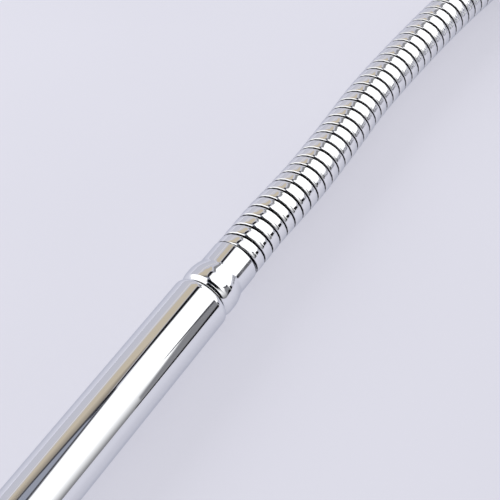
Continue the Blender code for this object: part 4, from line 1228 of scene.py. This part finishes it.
def nut_outline():
    corner_r = NUT_FLATS / math.sqrt(3)
    thread = []
    for turn in range(THREADS):
        start = THREAD_START + turn * THREAD_PITCH
        thread += [(start, THREAD_CREST_R), (start + 0.15 * THREAD_PITCH, THREAD_CREST_R)]
        thread += [(start + 0.5 * THREAD_PITCH, THREAD_ROOT_R), (start + 0.65 * THREAD_PITCH, THREAD_ROOT_R)]
    return [
        (NUT_START, TAP_NECK_R + FIT),
        (NUT_START, NUT_CONE_R - 0.3 * MM),
        (NUT_START + 0.3 * MM, NUT_CONE_R),
        (NUT_SEAT, corner_r),
        (NUT_END - NUT_CHAMFER, corner_r),
        (NUT_END, corner_r - 2 * NUT_CHAMFER),
        (NUT_END, THREAD_CREST_R + 0.6 * MM),
        (NUT_END - 0.6 * MM, THREAD_CREST_R),
        *reversed(thread),
        (NUT_SEAT, THREAD_CREST_R),
        (NUT_SEAT, TAP_NECK_R + FIT),
    ]


nut_middle = (NUT_START + NUT_END) / 2
prism = bmesh.new()
sideways = Matrix.Rotation(math.pi / 2, 4, "Y")
bmesh.ops.create_cone(
    prism, cap_ends=True, cap_tris=False, segments=6, radius1=NUT_FLATS / math.sqrt(3),
    radius2=NUT_FLATS / math.sqrt(3), depth=NUT_END - NUT_START + 2 * FIT,
    matrix=TAP @ Matrix.Translation((nut_middle, 0.0, 0.0)) @ sideways,
)
nut = carve(lathe(nut_outline(), 96, TAP), prism, "INTERSECT")
union_hex = add_piece("union_hex", nut, CHROME, "union_nut", ["tap_nut"], 30.0)
print("nut box, mm:", [round(x / MM, 1) for x in nut_low], [round(x / MM, 1) for x in nut_high])

# %% Washer and gauze
WASHER_START = 15.8 * MM
WASHER_END = 18.3 * MM
WASHER_BORE_R = 5.0 * MM
WASHER_EDGE = 0.35 * MM
GAUZE_R = 4.7 * MM
GAUZE_LEVEL = 17.05 * MM
GAUZE_WIRE_R = 0.16 * MM
GAUZE_WIRES = 11


def washer_outline():
    edge = WASHER_EDGE
    return [
        (WASHER_START, WASHER_BORE_R + edge),
        (WASHER_START, FLANGE_R - edge),
        (WASHER_START + edge, FLANGE_R),
        (WASHER_END - edge, FLANGE_R),
        (WASHER_END, FLANGE_R - edge),
        (WASHER_END, WASHER_BORE_R + edge),
        (WASHER_END - edge, WASHER_BORE_R),
        (WASHER_START + edge, WASHER_BORE_R),
    ]


def gauze():
    """A rim of wire with two layers of straight wires across it."""
    rim = bow((GAUZE_LEVEL, GAUZE_R - 0.3 * MM), (0.3 * MM, 0.3 * MM), 0.0, 330.0, 11)
    shape = lathe(rim, 48, TAP)
    reach = GAUZE_R - 0.3 * MM
    for layer, turn in ((-1, 0.0), (1, math.pi / 2)):
        for wire in range(GAUZE_WIRES):
            away = reach * (2 * (wire + 1) / (GAUZE_WIRES + 1) - 1)
            half = math.sqrt(reach * reach - away * away)
            level = GAUZE_LEVEL + layer * 0.8 * GAUZE_WIRE_R
            place = Matrix.Rotation(turn, 4, "X") @ Matrix.Translation((level, away, 0.0))
            bmesh.ops.create_cone(
                shape, cap_ends=True, cap_tris=False, segments=8, radius1=GAUZE_WIRE_R, radius2=GAUZE_WIRE_R,
                depth=2 * half, matrix=TAP @ place,
            )
    return shape


washer = lathe(washer_outline(), 72, TAP)
seat_washer = add_piece("seat_washer", washer, RUBBER, "union_nut", ["tap_washer"], 50.0)
grit_gauze = add_piece("grit_gauze", gauze(), STEEL, "union_nut", ["filter_screen"], 60.0)

# %% [markdown]
# ## Tie on the coil
# A hose that is put away is held by a short strap round its turns, where the upper turn lies straight above
# the lower one. The strap is one flat section, pulled round both, and pressed thin where the coil lies on it.

TIE_TURN = 0.5
TIE_WIDTH = 11.0 * MM
TIE_THICKNESS = 0.5 * MM
TIE_GAP = 0.1 * MM
TIE_FREE = (-0.5 * MM, 0.0, 0.6 * MM, 1.0)
TIE_PRESSED = (0.01 * MM, 0.09 * MM, 0.6 * MM, 1.0)


def tie_place():
    """The middle between the two turns, with local Y along the hose and local Z up."""
    knots = hose_knots()
    first = len(FREE_ROUTE) - 1
    lower = knots[first + round(TIE_TURN * COIL_POINTS_PER_TURN)]
    upper = knots[first + round((TIE_TURN + 1) * COIL_POINTS_PER_TURN)]
    before = knots[first + round(TIE_TURN * COIL_POINTS_PER_TURN) - 1]
    after = knots[first + round(TIE_TURN * COIL_POINTS_PER_TURN) + 1]
    ahead = after - before
    turn = Matrix.Rotation(math.atan2(ahead.y, ahead.x) - math.pi / 2, 4, "Z")
    return Matrix.Translation((lower + upper) / 2) @ turn, (upper.z - lower.z) / 2


def strap():
    place, half = tie_place()
    reach = HOSE_R + TIE_GAP
    shape = bmesh.new()
    section = [(reach, -0.5), (reach + TIE_THICKNESS, -0.5), (reach + TIE_THICKNESS, 0.5), (reach, 0.5)]
    verts = [shape.verts.new((x, y * TIE_WIDTH, half)) for x, y in section]
    edges = [shape.edges.new(pair) for pair in zip(verts, verts[1:] + verts[:1])]
    ring = verts + edges
    for centre, drop in ((half, -2 * half), (-half, 2 * half)):
        made = bmesh.ops.spin(
            shape, geom=ring, cent=(0.0, 0.0, centre), axis=(0.0, 1.0, 0.0), dvec=(0.0, 0.0, 0.0),
            angle=-math.pi, steps=24, use_merge=False, use_normal_flip=False, use_duplicate=False,
        )
        grown = bmesh.ops.extrude_edge_only(
            shape, edges=[item for item in made["geom_last"] if isinstance(item, bmesh.types.BMEdge)]
        )["geom"]
        moved = [item for item in grown if isinstance(item, bmesh.types.BMVert)]
        bmesh.ops.translate(shape, vec=(0.0, 0.0, drop), verts=moved)
        ring = [item for item in grown if not isinstance(item, bmesh.types.BMFace)]
        ring = moved + [item for item in ring if isinstance(item, bmesh.types.BMEdge)
                        and item.verts[0] in moved and item.verts[1] in moved]
    bmesh.ops.transform(shape, matrix=place, verts=shape.verts)
    for vert in shape.verts:
        vert.co.z = np.interp(vert.co.z, TIE_FREE, TIE_PRESSED)
    return shape


coil_tie = add_piece("coil_tie", strap(), RUBBER, "hose", [], 40.0)

# %% [markdown]
# ## Floor
# A pale sheet under soft light from all sides shows hardly any shadow. A part of the sheet's light is
# its own, as on a light table, and only the rest is dimmed where the sprayer stands in the way.

# %% Lay the floor
def floor_finish():
    finish, tree, shader = new_finish("pale_floor", (0.35, 0.35, 0.38), 0.0, 0.6)
    shader.inputs["Specular IOR Level"].default_value = 0.0
    shader.inputs["Emission Color"].default_value = (0.90, 0.895, 1.0, 1.0)
    shader.inputs["Emission Strength"].default_value = 0.50
    grain = noise_on(tree, 6.0, 2.0)
    tint(tree, grain, shader.inputs["Base Color"], (0.34, 0.34, 0.37), (0.36, 0.36, 0.39))
    return finish


FLOOR_SIZE = 60.0
ground = bmesh.new()
bmesh.ops.create_grid(ground, x_segments=1, y_segments=1, size=FLOOR_SIZE / 2)
floor_mesh = bpy.data.meshes.new("floor")
ground.to_mesh(floor_mesh)
ground.free()
floor_mesh.materials.append(floor_finish())
floor = bpy.data.objects.new("floor", floor_mesh)
bpy.context.scene.collection.objects.link(floor)
print("floor side, m:", FLOOR_SIZE)

# %% [markdown]
# ## Studio cards
# A mirror shows the room, so the room is part of the finish. Round the handle's line hang long cards that
# only mirrors see: pale walls, a tan board, black flags and one broad white soft box, as a photographer
# puts them round a shiny thing. Each card has one tone. Its edges fade out, and it may widen or narrow along
# the handle, so slanted edges come by themselves. A card hangs in front of those before it.

# %% Card helpers
CARD_R = 1.2
CARD_STEP = 0.01
ARC_CUTS = 24


def card_finish():
    """Gives off the tone that is written on the vertices, as far as the card covers what is behind it."""
    finish = bpy.data.materials.new("card_light")
    finish.use_nodes = True
    tree = finish.node_tree
    tree.nodes.clear()
    written = tree.nodes.new("ShaderNodeAttribute")
    written.attribute_name = "light"
    glow = tree.nodes.new("ShaderNodeEmission")
    clear = tree.nodes.new("ShaderNodeBsdfTransparent")
    cover = tree.nodes.new("ShaderNodeMixShader")
    out = tree.nodes.new("ShaderNodeOutputMaterial")
    tree.links.new(written.outputs["Color"], glow.inputs["Color"])
    tree.links.new(written.outputs["Alpha"], cover.inputs["Fac"])
    tree.links.new(clear.outputs["BSDF"], cover.inputs[1])
    tree.links.new(glow.outputs["Emission"], cover.inputs[2])
    tree.links.new(cover.outputs["Shader"], out.inputs["Surface"])
    return finish


def hang(name, shape):
    """Makes a bmesh a studio card that only reflections show."""
    mesh = bpy.data.meshes.new(name)
    shape.to_mesh(mesh)
    shape.free()
    mesh.materials.append(CARD)
    card = bpy.data.objects.new(name, mesh)
    bpy.context.scene.collection.objects.link(card)
    card.visible_camera = False
    card.visible_diffuse = False
    card.visible_shadow = False
    card.visible_transmission = False


def card_arc(shape, layer, radius, tone, x, angles):
    """A card's arc at one place: faded edge, body, faded edge, in degrees from straight up."""
    verts = []
    for mark in np.linspace(0.0, 3.0, 3 * ARC_CUTS + 1):
        turn = math.radians(np.interp(mark, range(4), angles))
        vert = shape.verts.new((x, -radius * math.sin(turn), radius * math.cos(turn)))
        vert[layer] = (*tone, np.interp(mark, range(4), (0.0, 1.0, 1.0, 0.0)))
        verts.append(vert)
    return [shape.edges.new(pair) for pair in zip(verts, verts[1:])]


def long_card(name, depth, tone, stations):
    shape = bmesh.new()
    layer = shape.verts.layers.float_color.new("light")
    radius = CARD_R - depth * CARD_STEP
    arcs = [card_arc(shape, layer, radius, tone, x, angles) for x, *angles in stations]
    for arc, next_arc in zip(arcs, arcs[1:]):
        bmesh.ops.bridge_loops(shape, edges=arc + next_arc)
    hang(name, shape)


CARD = card_finish()

# %% Hang the long cards
WHITE_TONE = (1.4, 1.4, 1.4)
PALE_TONE = (0.60, 0.60, 0.67)
LIGHT_TONE = (0.70, 0.68, 0.71)
TAN_TONE = (0.61, 0.535, 0.42)
DUN_TONE = (0.27, 0.235, 0.20)
BLUE_TONE = (0.33, 0.35, 0.42)
GREY_TONE = (0.25, 0.25, 0.26)
SLATE_TONE = (0.25, 0.25, 0.265)
DIM_TONE = (0.06, 0.06, 0.07)
BLACK_TONE = (0.004, 0.004, 0.005)
NEAR = -0.45
FAR = 2.4
LONG_CARDS = (
    ("pale_wall", PALE_TONE, ((NEAR, -91, -91, 91, 91), (FAR, -91, -91, 91, 91))),
    ("wall_edge", LIGHT_TONE, (
        (NEAR, -61, -58, -54, -52), (0.75, -61, -58, -54, -51), (FAR, -66, -62, -56, -52))),
    ("tan_board", TAN_TONE, (
        (NEAR, -54, -51, -34, -31), (0.33, -54, -51, -31, -28), (0.46, -54, -51, -22, -16),
        (0.62, -54, -50, -26, -22), (0.73, -50, -47, -28, -24), (0.98, -44, -40, -26, -22),
        (1.3, -46, -44, -42, -40))),
    ("tan_shade", DUN_TONE, (
        (NEAR, -46, -33, -33, -31), (0.33, -48, -30, -30, -28), (0.46, -40, -20, -20, -16),
        (0.60, -27, -25, -25, -23))),
    ("blue_gap", BLUE_TONE, ((NEAR, -34, -32, 10, 14), (0.33, -29, -26, -3, 2), (0.48, -17, -15, -10, -8))),
    ("soft_box", WHITE_TONE, (
        (NEAR, 8, 22, 91, 91), (0.33, -3, 8, 91, 91), (0.46, -10, -2, 91, 91), (0.60, -16, -9, 91, 91),
        (0.76, -16, -9, 91, 91), (0.92, -8, -2, 91, 91), (1.24, -23, -15, 91, 91), (FAR, -33, -27, 91, 91))),
    ("upper_line", DIM_TONE, (
        (-0.1, -36, -35, -33, -31), (0.33, -30, -28, -25, -23), (0.50, -20, -17, -13, -10))),
    ("lower_line", DIM_TONE, ((-0.1, 4, 7, 10, 13), (0.33, -7, -4, -1, 4), (0.50, -15, -13, -11, -8))),
    ("black_flag", BLACK_TONE, (
        (0.44, -17, -15, -14, -12), (0.60, -24, -21, -15, -11), (0.73, -26, -23, -15, -11),
        (0.86, -20, -18, -14, -10))),
    ("floor_shade", GREY_TONE, ((NEAR, 55, 86, 91, 91), (0.52, 52, 86, 91, 91), (0.62, 72, 86, 91, 91))),
    ("grey_board", SLATE_TONE, (
        (0.50, 66, 76, 82, 84), (0.60, 56, 60, 84, 86), (0.715, 59, 61, 84, 86), (0.728, 65, 67, 79, 81))),
    ("board_edge", DIM_TONE, ((0.56, 51, 53, 54, 56), (0.66, 54, 56, 60, 64), (0.725, 60, 62, 66, 69))),
    ("table_edge", BLACK_TONE, ((0.48, 86, 87, 89, 90), (0.62, 81, 85, 91, 91), (0.735, 75, 78, 91, 91))),
    ("hose_floor", PALE_TONE, ((0.74, 73, 75, 91, 91), (1.2, 72, 76, 91, 91), (FAR, 66, 74, 91, 91))),
    ("dark_bar", BLACK_TONE, ((0.745, 71, 73, 87, 89), (0.84, 73, 75, 87, 89), (0.96, 78, 80, 88, 89))),
    ("near_white", WHITE_TONE, ((NEAR, -91, -80, -14, -8), (0.24, -91, -80, -14, -8))),
    ("near_flag", BLACK_TONE, ((-0.28, -12, -4, 30, 55), (0.24, -14, -8, 45, 75))),
    ("hose_grey", GREY_TONE, (
        (0.84, -20, -18, -14, -11), (0.92, -20, -16, -9, -5), (1.24, -38, -32, -22, -18),
        (FAR, -50, -44, -34, -30))),
)
for depth, (name, tone, stations) in enumerate(LONG_CARDS):
    long_card(name, depth, tone, stations)
print("long cards:", len(LONG_CARDS))

# %% [markdown]
# ## Ends of the studio and lamps
# Behind the camera the room is dark on one side and white on the other. That is what draws the black
# crescents on the bead and the shadow side of every groove. At the far end it is white.

# %% Close the ends and light the floor
def end_card(name, x, tone, sides, edge):
    """A card across the studio's end between two sides, with its right-hand edge faded."""
    shape = bmesh.new()
    layer = shape.verts.layers.float_color.new("light")
    arcs = []
    for y, cover in ((sides[0], 1.0), (sides[1] - edge, 1.0), (sides[1], 0.0)):
        low = shape.verts.new((x, y, -0.2))
        high = shape.verts.new((x, y, CARD_R))
        for vert in (low, high):
            vert[layer] = (*tone, cover)
        arcs.append(shape.edges.new((low, high)))
    for arc, next_arc in zip(arcs, arcs[1:]):
        bmesh.ops.bridge_loops(shape, edges=[arc, next_arc])
    hang(name, shape)


end_card("white_near", NEAR, WHITE_TONE, (-CARD_R, CARD_R), CARD_STEP)
end_card("dark_room", NEAR + CARD_STEP, BLACK_TONE, (-CARD_R, 0.14), 0.06)
end_card("white_far", FAR, WHITE_TONE, (-CARD_R, CARD_R), CARD_STEP)

lamp = bpy.data.lights.new("soft_lamp", "AREA")
lamp.shape = "DISK"
lamp.size = 0.9
lamp.energy = 10.0
soft_lamp = bpy.data.objects.new("soft_lamp", lamp)
soft_lamp.location = (0.15, 1.25, 0.70)
soft_lamp.rotation_euler = (math.radians(-61.0), 0.0, 0.0)
soft_lamp.visible_glossy = False
bpy.context.scene.collection.objects.link(soft_lamp)

sky = bpy.data.worlds.new("even_sky")
sky.use_nodes = True
sky.node_tree.nodes["Background"].inputs["Color"].default_value = (0.95, 0.95, 1.0, 1.0)
sky.node_tree.nodes["Background"].inputs["Strength"].default_value = 0.62
bpy.context.scene.world = sky
print("studio stands round the handle's line, radius", CARD_R)
